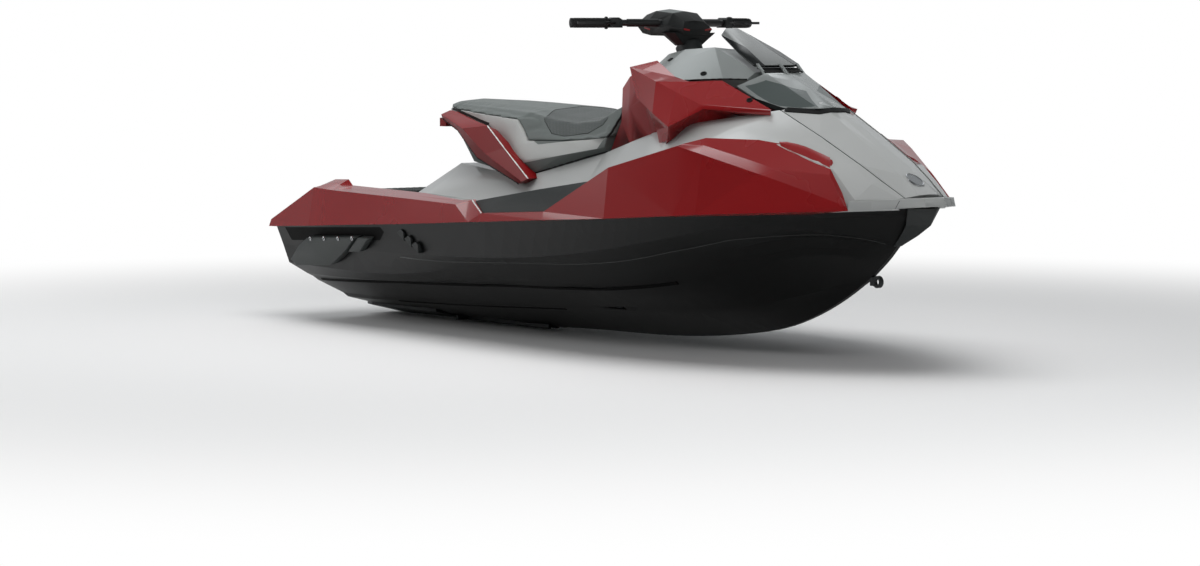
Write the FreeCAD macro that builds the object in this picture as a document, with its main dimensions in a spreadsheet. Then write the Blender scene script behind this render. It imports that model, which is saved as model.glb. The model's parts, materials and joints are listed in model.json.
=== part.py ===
import FreeCAD, Part
import math
import os

import Sketcher
from FreeCAD import Placement, Rotation, Vector

# Personal watercraft for three people: moulded hull, decked over, with a water jet.
# Frame: +X forward, +Y port, +Z up, origin amidships on the waterline, millimetres.
# Heights in the tables below are measured from the keel's base line, and every piece
# stands lower by the draft.

doc = FreeCAD.newDocument("Watercraft")

SIZES = [
    ("draft", 260),
    # engine bay and the block in it
    ("bay_rear", -480),
    ("bay_length", 780),
    ("bay_width", 500),
    ("bay_floor", 92),
    ("engine_length", 700),
    ("engine_width", 430),
    ("engine_height", 262),
    ("engine_crank", 105),
    # jet pump, on its own axis
    ("jet_height", 105),
    ("jet_face", -1102),
    ("jet_bore", 80),
    ("jet_wall", 9),
    ("jet_length", 190),
    ("jet_mouth", 48),
    ("jet_cone", 80),
    ("jet_spout", 40),
    ("spout_wall", 6),
    ("stator_hub", 34),
    ("stator_blades", 6),
    ("flange_depth", 12),
    ("flange_height", 20),
    ("impeller_gap", 1.5),
    ("impeller_hub", 30),
    ("impeller_set", 14),
    ("impeller_length", 88),
    ("impeller_blades", 4),
    ("shaft_radius", 14),
    ("shaft_gap", 5),
    ("nozzle_length", 100),
    ("nozzle_bell", 72),
    ("nozzle_mouth", 44),
    ("nozzle_wall", 6),
    ("nozzle_lead", 12),
    ("pivot_radius", 7),
    ("lug_thickness", 9),
    ("bucket_radius", 128),
    ("bucket_wall", 6),
    ("bucket_from", 22),
    ("bucket_sweep", 76),
    ("arm_thickness", 7),
    ("swing_room", 12),
    ("swing_forward", 34),
    # tunnel that the pump sits in, and the water's way to it
    ("tunnel_radius", 145),
    ("tunnel_length", 560),
    ("duct_width", 156),
    ("duct_front", -452),
    ("duct_lip", -972),
    ("grate_bar", 12),
    ("grate_pitch", 38),
    ("grate_depth", 18),
    ("grate_level", -36),
    # steering
    ("steer_x", 372),
    ("steer_up", 968),
    ("steer_tilt", 27),
    ("neck_radius", 46),
    ("neck_length", 52),
    ("column_radius", 38),
    ("column_length", 86),
    ("bar_radius", 11.5),
    ("bar_height", 1092),
    ("bar_centre", 300),
    ("bar_flat", 98),
    ("bar_end_x", 198),
    ("bar_end", 398),
    ("grip_radius", 17),
    ("grip_length", 128),
    ("grip_flange", 22),
    ("grip_cap", 5),
    ("pod_length", 46),
    ("pod_width", 40),
    ("pod_height", 34),
    ("lever_length", 130),
    # eyes for a line
    ("eye_bore", 11),
    ("eye_rim", 9),
    ("eye_width", 14),
    ("stern_eye_half", 400),
    ("stern_eye_x", -1588),
    ("stern_eye_height", 262),
    ("bow_eye_x", 1338),
    ("bow_eye_height", 240),
    # small parts
    ("sponson_x", -1435),
    ("sponson_half", 466),
    ("sponson_height", 177),
    ("sponson_length", 541),
    ("sponson_rise", 137),
    ("sponson_stand", 48),
    ("sponson_plan", 3.5),
    ("sponson_lean", 15),
    ("vent_side", 46),
    ("vent_stand", 34),
    ("vent_x", -634),
    ("vent_half", 536),
    ("vent_height", 330),
    ("mat_thickness", 6),
    ("running_gap", 0.4),
    ("lid_gap", 7),
    ("hood_depth", 24),
    ("hinge_along", 1590),
    ("hinge_level", 512),
    ("hinge_pin", 4),
    ("knuckle_radius", 7),
    ("knuckle_half", 14),
    ("knuckle_width", 12),
    ("knuckle_room", 2),
    ("post_length", 84),
    ("post_width", 11),
    ("post_depth", 7),
    ("post_lean", 42),
    ("handle_rear", -886),
    ("handle_depth", 40),
    ("handle_span", 400),
    ("handle_rise", 32),
    ("handle_height", 706),
    ("well_lining", 8),
    # storage bin under the hood
    ("bin_rear", 1120),
    ("bin_length", 280),
    ("bin_width", 190),
    ("bin_floor", 512),
]

# Lines of the moulding: each row is along, half-breadth, height.
LINES = {
    "rail": [(-1585, 488, 311), (-1150, 541, 338), (-700, 566, 364), (-150, 593, 397),
             (400, 598, 428), (800, 538, 453), (1100, 428, 473), (1350, 285, 487),
             (1602, 8, 499)],
    "flank": [(-1560, 474, 240), (-1150, 508, 238), (-700, 538, 252), (-150, 558, 264),
              (400, 545, 306), (800, 478, 372), (1100, 368, 430), (1340, 215, 460),
              (1562, 8, 466)],
    "chine": [(-1535, 462, 168), (-1150, 486, 163), (-700, 499, 172), (-150, 500, 236),
              (400, 476, 268), (800, 408, 333), (1090, 300, 400), (1290, 180, 406),
              (1450, 8, 374)],
    "chine_inner": [(-1480, 415, 127), (-1150, 436, 128), (-700, 448, 142),
                    (-150, 452, 192), (400, 424, 226), (800, 345, 296),
                    (1075, 236, 372), (1265, 130, 386), (1436, 8, 361)],
    "strake": [(-1465, 398, 116), (-1150, 406, 121), (-700, 406, 138), (-150, 404, 170),
               (400, 378, 196), (800, 296, 262), (1060, 190, 332), (1240, 95, 350),
               (1400, 8, 325)],
    "strake_lip": [(-1460, 378, 100), (-1150, 386, 105), (-700, 388, 122),
                   (-150, 388, 156), (400, 362, 176), (800, 276, 238),
                   (1045, 170, 306), (1220, 80, 324), (1375, 8, 303)],
    "plank": [(-1450, 268, 46), (-1150, 272, 50), (-700, 276, 64), (-150, 272, 88),
              (400, 236, 106), (800, 156, 132), (1015, 92, 172), (1175, 44, 214),
              (1312, 8, 253)],
    "plank_lip": [(-1445, 250, 30), (-1150, 254, 34), (-700, 258, 48), (-150, 256, 74),
                  (400, 218, 92), (800, 138, 114), (1000, 78, 154), (1155, 36, 196),
                  (1288, 8, 236)],
    "keel": [(-1440, 12, -30), (-1150, 12, -34), (-700, 12, -38), (-150, 12, -21),
             (400, 12, -6), (800, 11, 40), (985, 10, 88), (1130, 9, 148),
             (1262, 8, 221)],
    # deck moulding
    "deck_outer": [(-1580, 455, 300), (-1275, 500, 318), (-1100, 512, 330),
                   (-900, 524, 341), (-745, 534, 350), (-270, 560, 378),
                   (150, 572, 404), (480, 566, 425), (720, 540, 438), (1070, 428, 462),
                   (1220, 350, 472), (1375, 252, 478), (1450, 195, 483),
                   (1530, 118, 487)],
    "deck_edge": [(-1580, 440, 338), (-1275, 440, 474), (-1100, 440, 478), (-900, 452, 477),
                  (-745, 470, 475), (-270, 540, 463), (150, 560, 470), (480, 548, 545),
                  (720, 508, 632), (978, 348, 706), (1114, 254, 693), (1338, 202, 616),
                  (1450, 205, 520), (1545, 112, 524)],
    "deck_foot": [(-1575, 410, 336), (-1275, 400, 450), (-1100, 400, 455), (-900, 345, 457),
                  (-745, 330, 460), (-270, 336, 440), (150, 348, 462), (480, 400, 572),
                  (720, 440, 655), (982, 276, 742), (1137, 198, 713), (1349, 142, 630),
                  (1462, 145, 570), (1550, 100, 526)],
    "deck_upper": [(-1570, 380, 336), (-1275, 380, 450), (-1100, 380, 455), (-890, 300, 458),
                   (-745, 200, 572), (-266, 262, 537), (155, 222, 634), (520, 300, 715),
                   (720, 330, 748), (1020, 155, 801), (1203, 139, 718), (1380, 123, 630),
                   (1470, 108, 578), (1556, 88, 527)],
    # red side panel
    "panel_low": [(-1620, 500, 306), (-1275, 541, 325), (-1222, 545, 328),
                  (-1131, 551, 333), (-1103, 553, 335), (-567, 583, 365),
                  (-236, 600, 386), (-139, 604, 392), (-55, 608, 397), (315, 615, 420),
                  (630, 595, 438), (912, 527, 457), (994, 497, 463), (1166, 420, 472),
                  (1256, 370, 477), (1449, 234, 486)],
    "panel_crease": [(-1612, 495, 333), (-1265, 520, 471), (-1222, 524, 469),
                     (-1131, 530, 466), (-1103, 532, 465), (-567, 570, 457),
                     (-236, 590, 450), (-139, 585, 469), (-55, 605, 427),
                     (315, 610, 448), (630, 575, 608), (912, 505, 686), (994, 468, 660),
                     (1166, 380, 602), (1256, 334, 571), (1436, 240, 503)],
    "panel_step": [(-1611, 483, 335), (-1265, 510, 472), (-1222, 488, 485), (-1131, 490, 485),
                   (-1103, 490, 474), (-567, 530, 466), (-236, 575, 457), (-139, 578, 470),
                   (-55, 595, 428), (315, 600, 449), (630, 560, 610), (879, 466, 689),
                   (941, 415, 687), (1083, 359, 647), (1189, 320, 616), (1348, 224, 598)],
    "panel_crest": [(-1610, 470, 336), (-1265, 500, 473), (-1222, 450, 501), (-1131, 450, 504),
                    (-1103, 450, 482), (-567, 490, 475), (-236, 560, 464), (-139, 570, 471),
                    (-55, 585, 429), (315, 590, 450), (630, 545, 612), (881, 455, 692),
                    (922, 392, 711), (1059, 281, 706), (1143, 232, 691), (1305, 175, 645)],
    "panel_inner": [(-1600, 425, 300), (-1265, 430, 330), (-1222, 435, 330),
                    (-1131, 435, 330), (-1103, 435, 330), (-567, 480, 360),
                    (-236, 540, 380), (-139, 545, 385), (-55, 550, 390),
                    (315, 555, 410), (630, 510, 430), (912, 440, 445), (994, 420, 450),
                    (1166, 345, 460), (1256, 290, 465), (1384, 200, 480)],
    # dark coaming over the footwell
    "coaming_low": [(-62, 601, 424), (315, 605, 444), (520, 582, 548)],
    "coaming_top": [(-134, 577, 466), (200, 548, 518), (520, 556, 560)],
    "coaming_inside": [(-134, 540, 466), (200, 512, 518), (520, 524, 556)],
    "coaming_root": [(-62, 540, 395), (315, 530, 405), (520, 520, 500)],
    # footwell void, and the lining around it
    "well_top_inner": [(-905, 343, 640), (-745, 332, 640), (150, 350, 640), (610, 395, 700)],
    "well_floor_inner": [(-835, 348, 352), (-745, 346, 345), (150, 360, 365),
                         (520, 392, 440)],
    "well_floor_outer": [(-835, 440, 352), (-745, 455, 345), (150, 505, 365),
                         (520, 480, 440)],
    "well_top_outer": [(-905, 452, 640), (-745, 470, 640), (150, 560, 640),
                       (610, 520, 700)],
    # seat
    "seat_crown": [(-948, 0, 797), (-880, 0, 806), (-600, 0, 803), (-300, 0, 792),
                   (-160, 0, 776), (-40, 0, 762), (80, 0, 775), (165, 0, 838)],
    "seat_shoulder": [(-930, 118, 790), (-870, 138, 796), (-600, 180, 790),
                      (-300, 212, 776), (-160, 215, 752), (-40, 210, 742),
                      (80, 195, 752), (185, 128, 826)],
    "seat_edge": [(-905, 135, 772), (-850, 158, 770), (-600, 214, 757),
                  (-335, 245, 742), (-262, 252, 668), (-40, 252, 672), (80, 244, 680),
                  (175, 226, 690)],
    "seat_side": [(-830, 150, 690), (-780, 180, 680), (-560, 236, 650),
                  (-320, 268, 610), (-250, 270, 600), (-40, 264, 622), (80, 250, 640),
                  (168, 232, 656)],
    "seat_foot": [(-745, 120, 580), (-720, 160, 578), (-520, 215, 562),
                  (-290, 258, 542), (-230, 256, 548), (-40, 240, 593), (80, 225, 622),
                  (160, 212, 640)],
    # cowl behind the seat
    "cowl_front": [(-817, 200, 768), (-443, 298, 719), (-330, 304, 640),
                   (-176, 312, 536)],
    "cowl_ridge": [(-846, 222, 752), (-600, 300, 706), (-440, 312, 618),
                   (-200, 322, 524)],
    "cowl_rear": [(-862, 205, 736), (-708, 245, 696), (-560, 262, 598),
                  (-232, 314, 516)],
    "cowl_inner_rear": [(-850, 130, 722), (-700, 190, 680), (-540, 215, 590),
                        (-232, 262, 516)],
    "cowl_inner_front": [(-800, 130, 752), (-470, 232, 700), (-350, 240, 640),
                         (-180, 250, 536)],
    # tank cover between the knees
    "tank_low": [(190, 222, 640), (350, 262, 672), (520, 302, 704), (768, 290, 722)],
    "tank_mid": [(212, 190, 748), (350, 262, 800), (480, 300, 832), (768, 292, 796)],
    "tank_top": [(152, 138, 862), (300, 222, 905), (430, 262, 938), (768, 250, 860)],
    "tank_crown": [(148, 0, 872), (300, 0, 925), (430, 0, 952), (768, 0, 905)],
    # wing panels beside the console, each with its leg
    "wing_crease": [(398, 300, 940), (600, 347, 893), (689, 332, 859), (791, 310, 818),
                    (1018, 194, 800)],
    "wing_low": [(473, 330, 836), (620, 378, 787), (746, 412, 744), (809, 311, 803),
                 (1012, 190, 784)],
    "wing_under": [(480, 285, 828), (620, 300, 775), (740, 315, 735), (845, 202, 777),
                   (1004, 180, 768)],
    "wing_inner": [(431, 205, 962), (600, 262, 908), (690, 275, 893), (778, 204, 897),
                   (1006, 180, 803)],
    "leg_front": [(746, 411, 745), (735, 405, 700), (708, 398, 668)],
    "leg_rear": [(560, 356, 806), (628, 366, 730), (672, 385, 668)],
    "leg_inner_rear": [(560, 300, 806), (628, 320, 730), (672, 345, 660)],
    "leg_inner_front": [(746, 320, 745), (735, 330, 700), (708, 345, 660)],
    # instrument console
    "console_crown": [(372, 0, 990), (480, 0, 1004), (600, 0, 1000), (720, 0, 952),
                      (828, 0, 910)],
    "console_shoulder": [(380, 112, 984), (480, 120, 1000), (620, 105, 1008),
                         (740, 112, 968), (828, 98, 924)],
    "console_low": [(418, 205, 940), (476, 226, 932), (648, 272, 896), (760, 184, 902),
                    (828, 135, 901)],
    "console_root": [(400, 190, 905), (476, 205, 900), (648, 245, 868), (754, 167, 871),
                     (828, 123, 875)],
    # wind deflector and the nose module under it
    "visor_ridge": [(585, 26, 1074), (712, 46, 1010), (838, 65, 948)],
    "visor_edge": [(607, 66, 1050), (733, 97, 992), (824, 103, 950)],
    "visor_edge_inner": [(611, 62, 1042), (735, 92, 984), (820, 98, 943)],
    "visor_ridge_inner": [(590, 25, 1065), (712, 44, 1001), (833, 62, 940)],
    "nose_crown": [(896, 0, 912), (990, 0, 872), (1120, 0, 810)],
    "nose_ridge": [(869, 86, 922), (990, 73, 864), (1109, 59, 806)],
    "nose_edge": [(835, 186, 879), (915, 167, 837), (1016, 130, 807)],
    "nose_low": [(835, 180, 857), (915, 161, 822), (1004, 124, 791)],
    "nose_floor": [(866, 0, 854), (965, 0, 820), (1060, 0, 798)],
    # hood, between the deck's upper lines
    "hood_crown": [(1078, 0, 829), (1230, 0, 743), (1385, 0, 656), (1480, 0, 601),
                   (1586, 0, 538)],
    "hood_ridge": [(1078, 31, 826), (1230, 33, 740), (1385, 37, 654), (1480, 39, 599),
                   (1576, 41, 536)],
    "hood_under": [(1078, 0, 795), (1230, 0, 708), (1385, 0, 620), (1480, 0, 566),
                   (1582, 0, 514)],
    # bow bumper, from one end round to the stem
    "bumper_low": [(1450, 235, 486), (1508, 186, 490), (1560, 121, 495),
                   (1622, 55, 500), (1660, 0, 502)],
    "bumper_top": [(1446, 231, 516), (1503, 182, 520), (1554, 117, 524),
                   (1612, 53, 527), (1648, 0, 529)],
    "bumper_inner": [(1440, 205, 518), (1492, 160, 521), (1550, 102, 525),
                     (1594, 48, 528), (1612, 0, 529)],
    "bumper_root": [(1430, 190, 484), (1480, 140, 487), (1520, 85, 490),
                    (1560, 35, 494), (1585, 0, 496)],
    # guard on the stem under the bumper
    "guard_prow": [(1620, 0, 494), (1588, 0, 437), (1530, 0, 402), (1455, 0, 366)],
    "guard_side": [(1556, 72, 492), (1528, 54, 437), (1486, 36, 402), (1432, 18, 362)],
    "guard_back": [(1480, 0, 492), (1470, 0, 437), (1440, 0, 402), (1400, 0, 380)],
    # boarding mat and the ride plate under the pump
    "mat_top": [(-1505, 345, 370), (-1278, 352, 456), (-1100, 352, 461), (-912, 300, 464)],
    "mat_root": [(-1505, 345, 355), (-1278, 352, 440), (-1100, 352, 445), (-912, 300, 448)],
    "plate_keel": [(-1505, 0, -26), (-1420, 0, -42), (-1120, 0, -40), (-985, 0, -37)],
    "plate_edge": [(-1505, 118, -8), (-1420, 152, -6), (-1120, 152, -8), (-985, 152, -6)],
    "plate_rim": [(-1505, 118, 4), (-1420, 152, 8), (-1120, 152, 6), (-985, 152, 8)],
    "plate_top": [(-1505, 0, -14), (-1420, 0, -28), (-1120, 0, -26), (-985, 0, -23)],
    # pad on the handlebar
    "pad_crown": [(188, 0, 1126), (245, 0, 1141), (330, 0, 1133), (384, 0, 1100)],
    "pad_shoulder": [(188, 58, 1121), (245, 62, 1134), (330, 55, 1126), (382, 44, 1096)],
    "pad_edge": [(178, 98, 1086), (245, 106, 1090), (345, 92, 1084), (400, 66, 1070)],
    "pad_root": [(192, 80, 1056), (245, 84, 1048), (345, 74, 1046), (392, 56, 1050)],
}


class Dim:
    """A size that carries both its number and its expression."""

    def __init__(self, number, text):
        self.number = number
        self.text = text

    def _join(self, other, sign, number):
        text = other.text if isinstance(other, Dim) else str(other)
        return Dim(number, "(%s %s %s)" % (self.text, sign, text))

    def __add__(self, other):
        return self._join(other, "+", self.number + plain(other))

    def __sub__(self, other):
        return self._join(other, "-", self.number - plain(other))

    def __mul__(self, other):
        return self._join(other, "*", self.number * plain(other))

    def __truediv__(self, other):
        return self._join(other, "/", self.number / plain(other))

    def __neg__(self):
        return Dim(-self.number, "(-%s)" % self.text)


def plain(value):
    return value.number if isinstance(value, Dim) else value


sheet = doc.addObject("Spreadsheet::Sheet", "Sizes")
row = 1
for alias, number in SIZES:
    sheet.set("A%d" % row, alias)
    sheet.set("B%d" % row, str(number))
    sheet.setAlias("B%d" % row, alias)
    row += 1
for line, stations in LINES.items():
    for index, station in enumerate(stations):
        sheet.set("A%d" % row, "%s %d" % (line, index))
        for column, axis, number in zip("BCD", ("along", "half", "height"), station):
            sheet.set("%s%d" % (column, row), str(number))
            sheet.setAlias("%s%d" % (column, row), "%s_%s_%d" % (line, axis, index))
        row += 1
doc.recompute()


def size(name):
    return Dim(float(sheet.get(name)), "Sizes." + name)


def line_points(line, side):
    """Stations of a line on one side: -1 starboard, 1 port."""
    found = []
    for index in range(len(LINES[line])):
        along = float(sheet.get("%s_along_%d" % (line, index)))
        half = float(sheet.get("%s_half_%d" % (line, index)))
        height = float(sheet.get("%s_height_%d" % (line, index)))
        found.append(Vector(along, side * half, height))
    return found


def facets(corners):
    """Flat face on three or four corners, or two that share the shorter diagonal."""
    kept = []
    for corner in corners:
        if all(corner.distanceToPoint(other) > 0.01 for other in kept):
            kept.append(corner)
    if len(kept) < 3:
        return []
    loops = [kept]
    if len(kept) == 4:
        normal = (kept[1] - kept[0]).cross(kept[2] - kept[0])
        flat = normal.Length > 0.001 and abs(normal.normalize().dot(kept[3] - kept[0])) < 0.0001
        if not flat:
            first = kept[0].distanceToPoint(kept[2])
            second = kept[1].distanceToPoint(kept[3])
            if first <= second:
                loops = [[kept[0], kept[1], kept[2]], [kept[0], kept[2], kept[3]]]
            else:
                loops = [[kept[1], kept[2], kept[3]], [kept[1], kept[3], kept[0]]]
    return [Part.Face(Part.makePolygon(loop + [loop[0]])) for loop in loops]


def fair(points, knots):
    curve = Part.BSplineCurve()
    curve.interpolate(Points=points, Parameters=knots)
    return curve.toShape()


def closed_solid(faces):
    shell = Part.makeCompound(faces)
    shell.sewShape()
    solid = Part.makeSolid(shell.Shells[0])
    if solid.Volume < 0:
        solid.reverse()
    return solid


def strips(first, second, knots):
    """Faces between two lines, faired where knots are given."""
    if knots:
        return [Part.makeRuledSurface(fair(first, knots), fair(second, knots))]
    faces = []
    for k in range(len(first) - 1):
        faces += facets([first[k], first[k + 1], second[k + 1], second[k]])
    return faces


def moulding(names, knots=None):
    """Solid between lines that run down one side, and their mirror images."""
    faces = []
    right = [line_points(name, -1) for name in names]
    left = [line_points(name, 1) for name in names]
    for side in (right, left):
        for first, second in zip(side, side[1:]):
            faces += strips(first, second, knots)
    for end in (0, -1):
        if right[end][0].distanceToPoint(left[end][0]) > 0.01:
            faces += strips(right[end], left[end], knots)
    for k in (0, -1):
        for index in range(len(names) - 1):
            faces += facets([right[index][k], right[index + 1][k],
                             left[index + 1][k], left[index][k]])
    return closed_solid(faces)


def panel(names, side=-1, knots=None):
    """Solid inside a loop of lines on one side."""
    lines = [line_points(name, side) for name in names]
    faces = []
    for first, second in zip(lines, lines[1:] + lines[:1]):
        faces += strips(first, second, knots)
    for k in (0, -1):
        ring = [points[k] for points in lines]
        for index in range(1, len(ring) - 1):
            faces += facets([ring[0], ring[index], ring[index + 1]])
    return closed_solid(faces)


def hoop(names):
    """Solid inside a loop of lines that pass round the stem from side to side."""
    lines = []
    for name in names:
        lines.append(line_points(name, -1) + line_points(name, 1)[-2::-1])
    faces = []
    for first, second in zip(lines, lines[1:] + lines[:1]):
        faces += strips(first, second, None)
    for k in (0, -1):
        ring = [points[k] for points in lines]
        for index in range(1, len(ring) - 1):
            faces += facets([ring[0], ring[index], ring[index + 1]])
    return closed_solid(faces)


afloat = Placement(Vector(0, 0, -size("draft").number), Rotation())


def form(name, shape):
    """A moulded form, set down at the waterline."""
    feature = doc.addObject("Part::Feature", name)
    feature.Label = name
    feature.Shape = shape
    feature.Placement = afloat
    return feature


def bind(target, prop, value):
    if isinstance(value, Dim):
        target.setExpression(prop, value.text)
    else:
        setattr(target, prop, value)


def put(target, along=0, across=0, height=0, axis=None, angle=0):
    """Places a target: height counts from the keel's base line."""
    if axis is not None:
        target.Placement = Placement(Vector(), Rotation(axis, angle))
    for prop, value in (("x", along), ("y", across)):
        if isinstance(value, Dim):
            target.setExpression("Placement.Base." + prop, value.text)
        else:
            target.setExpression("Placement.Base." + prop, str(value))
    level = height if isinstance(height, Dim) else Dim(height, str(height))
    target.setExpression("Placement.Base.z", (level - size("draft")).text)


def solid(kind, name, **sizes):
    target = doc.addObject("Part::" + kind, name)
    for prop, value in sizes.items():
        bind(target, prop, value)
    return target


def cut(name, base, tools, joined=False):
    """Takes tools away: they are joined first where they run into each other."""
    tool = tools[0]
    if len(tools) > 1 and joined:
        tool = doc.addObject("Part::MultiFuse", name + "_tools")
        tool.Shapes = tools
    elif len(tools) > 1:
        tool = doc.addObject("Part::Compound", name + "_tools")
        tool.Links = tools
    result = doc.addObject("Part::Cut", name)
    result.Label = name
    result.Base = base
    result.Tool = tool
    return result


def fuse(name, shapes):
    result = doc.addObject("Part::MultiFuse", name)
    result.Label = name
    result.Shapes = shapes
    result.Refine = True
    return result


def mirrored(name, source):
    result = doc.addObject("Part::Mirroring", name)
    result.Label = name
    result.Source = source
    result.Normal = (0, 1, 0)
    result.Base = (0, 0, 0)
    return result


def body(name):
    result = doc.addObject("PartDesign::Body", name)
    result.Label = name
    return result


def sketch(owner, name, role):
    result = owner.newObject("Sketcher::SketchObject", name)
    plane = [item for item in owner.Origin.OriginFeatures if item.Role == role][0]
    result.AttachmentSupport = [(plane, "")]
    result.MapMode = "FlatFace"
    return result


def fix(drawing, geometry, point, direction, value):
    """Ties one coordinate of a point to a size."""
    if abs(plain(value)) < 1e-9 and not isinstance(value, Dim):
        axis = -2 if direction == "DistanceX" else -1
        drawing.addConstraint(Sketcher.Constraint("PointOnObject", geometry, point, axis))
        return
    index = drawing.addConstraint(
        Sketcher.Constraint(direction, -1, 1, geometry, point, plain(value)))
    if isinstance(value, Dim):
        drawing.setExpression("Constraints[%d]" % index, value.text)


def outline(owner, name, role, corners):
    """Closed outline through corners, each coordinate tied to its size."""
    drawing = sketch(owner, name, role)
    count = len(corners)
    spots = [Vector(plain(a), plain(b), 0) for a, b in corners]
    for k in range(count):
        drawing.addGeometry(Part.LineSegment(spots[k], spots[(k + 1) % count]), False)
    for k in range(count):
        drawing.addConstraint(
            Sketcher.Constraint("Coincident", k, 2, (k + 1) % count, 1))
    for k, (a, b) in enumerate(corners):
        fix(drawing, k, 1, "DistanceX", a)
        fix(drawing, k, 1, "DistanceY", b)
    return drawing


def ring(owner, name, role, circles):
    """Circles given as across, up, radius."""
    drawing = sketch(owner, name, role)
    for a, b, radius in circles:
        index = drawing.addGeometry(
            Part.Circle(Vector(plain(a), plain(b), 0), Vector(0, 0, 1), plain(radius)), False)
        fix(drawing, index, 3, "DistanceX", a)
        fix(drawing, index, 3, "DistanceY", b)
        mark = drawing.addConstraint(Sketcher.Constraint("Radius", index, plain(radius)))
        if isinstance(radius, Dim):
            drawing.setExpression("Constraints[%d]" % mark, radius.text)
    return drawing


def pad(owner, name, profile, length, both=False):
    feature = owner.newObject("PartDesign::Pad", name)
    feature.Profile = profile
    bind(feature, "Length", length)
    if both:
        feature.SideType = "Symmetric"
    return feature


def pocket(owner, name, profile, length, both=False, reverse=False):
    feature = owner.newObject("PartDesign::Pocket", name)
    feature.Profile = profile
    bind(feature, "Length", length)
    if both:
        feature.SideType = "Symmetric"
    feature.Reversed = reverse
    return feature


def revolve(owner, name, profile, axis="H_Axis", kind="Revolution"):
    feature = owner.newObject("PartDesign::" + kind, name)
    feature.Profile = profile
    feature.ReferenceAxis = (profile, [axis])
    feature.Angle = 360
    return feature


draft = size("draft")
gap = size("running_gap")

# Stations of the jet pump, and what hangs on its rear end.
jet_face = size("jet_face")
jet_up = size("jet_height")
jet_bore = size("jet_bore")
jet_outer = jet_bore + size("jet_wall")
jet_rear = size("jet_length")
cone_end = jet_rear + size("jet_cone")
spout_end = cone_end + size("jet_spout")
spout_outer = size("jet_mouth") + size("spout_wall")
hinge_x = jet_face - spout_end + size("nozzle_lead")
bell_outer = size("nozzle_bell") + size("nozzle_wall")
lug = size("lug_thickness")
arm = size("arm_thickness")
ear_from = bell_outer + 6
half = ear_from + 4 + lug + 1
bucket_in = size("bucket_radius")
bucket_out = bucket_in + size("bucket_wall")

HULL_LINES = ["rail", "flank", "chine", "chine_inner", "strake", "strake_lip", "plank",
              "plank_lip", "keel"]
HULL_KNOTS = [-1.6, -1.15, -0.7, -0.15, 0.4, 0.8, 1.08, 1.32, 1.55]
hull_form = form("hull_form", moulding(HULL_LINES, HULL_KNOTS))

bay = solid("Box", "engine_bay", Length=size("bay_length"), Width=size("bay_width"),
            Height=draft * 2)
put(bay, size("bay_rear"), -size("bay_width") / 2, size("bay_floor"))

tunnel_vault = solid("Cylinder", "tunnel_vault", Radius=size("tunnel_radius"),
                     Height=size("tunnel_length"))
put(tunnel_vault, size("jet_face") - size("tunnel_length"), 0, size("jet_height"),
    Vector(0, 1, 0), 90)
tunnel_walls = solid("Box", "tunnel_walls", Length=size("tunnel_length"),
                     Width=size("tunnel_radius") * 2, Height=size("draft"))
put(tunnel_walls, size("jet_face") - size("tunnel_length"), -size("tunnel_radius"),
    size("jet_height") - size("draft"))

swing_room = size("swing_room")
bucket_room = solid("Box", "bucket_room",
                    Length=size("tunnel_length") + hinge_x - jet_face + size("swing_forward"),
                    Width=(half + arm + swing_room) * 2, Height=bucket_out + swing_room)
put(bucket_room, jet_face - size("tunnel_length"), -(half + arm + swing_room), jet_up)

duct = body("duct")
duct_side = outline(duct, "duct_side", "XZ_Plane", [
    (size("jet_face") - 1, size("jet_height") - size("jet_bore")),
    (size("duct_lip"), -size("jet_bore")),
    (size("duct_front"), -size("jet_bore")),
    (size("duct_lip") + 20, size("jet_height") + size("jet_bore") * 0.75),
    (size("jet_face") - 1, size("jet_height") + size("jet_bore")),
])
pad(duct, "duct_width_pad", duct_side, size("duct_width"), both=True)
put(duct)

shaft_bore = solid("Cylinder", "shaft_bore", Radius=size("shaft_radius") + size("shaft_gap"),
                   Height=size("bay_rear") - size("jet_face") + 60)
put(shaft_bore, size("jet_face"), 0, size("jet_height"), Vector(0, 1, 0), 90)


# Linings of the footwells: the void, grown outward by their thickness.
def footwell(name, side, grow):
    lines = {}
    for line in ("well_top_inner", "well_floor_inner", "well_floor_outer", "well_top_outer"):
        points = line_points(line, 1)
        inward = -grow if line.endswith("inner") else grow
        down = grow if "floor" in line else 0
        last = len(points) - 1
        moved = []
        for k, point in enumerate(points):
            end = -grow if k == 0 else (grow if k == last else 0)
            moved.append(Vector(point.x + end, side * (point.y + inward), point.z - down))
        lines[line] = moved
    loop = list(lines.values())
    faces = []
    for first, second in zip(loop, loop[1:] + loop[:1]):
        faces += strips(first, second, None)
    for k in (0, -1):
        faces += facets([points[k] for points in loop])
    return form(name, closed_solid(faces))


well_right = footwell("well_right", -1, 0)
well_left = footwell("well_left", 1, 0)
well_lining = size("well_lining").number
lining_right = footwell("lining_right", -1, well_lining)
lining_left = footwell("lining_left", 1, well_lining)

hull = cut("hull", hull_form, [bay, tunnel_vault, tunnel_walls, bucket_room, duct,
                               shaft_bore, lining_right, lining_left], joined=True)

lined = []
for name, base in (("lining_in_hull_right", lining_right), ("lining_in_hull_left", lining_left)):
    common = doc.addObject("Part::Common", name)
    common.Base = base
    common.Tool = hull_form
    lined.append(common)

# Deck moulding: footwells sunk between the pedestal and the side panels, a recess that
# the hood lies in, and the storage bin under it.
deck_form = form("deck_form", moulding(["deck_upper", "deck_foot", "deck_edge", "deck_outer"]))
deck_block = cut("deck_block", deck_form, [hull_form])
deck_lined = fuse("deck_lined", [deck_block] + lined)


def shifted(points, along=0.0, inward=0.0, height=0.0):
    """A line moved along, toward the middle and up."""
    moved = []
    for point in points:
        side = -1 if point.y < 0 else 1
        moved.append(Vector(point.x + along, point.y - side * inward, point.z + height))
    return moved


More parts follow.
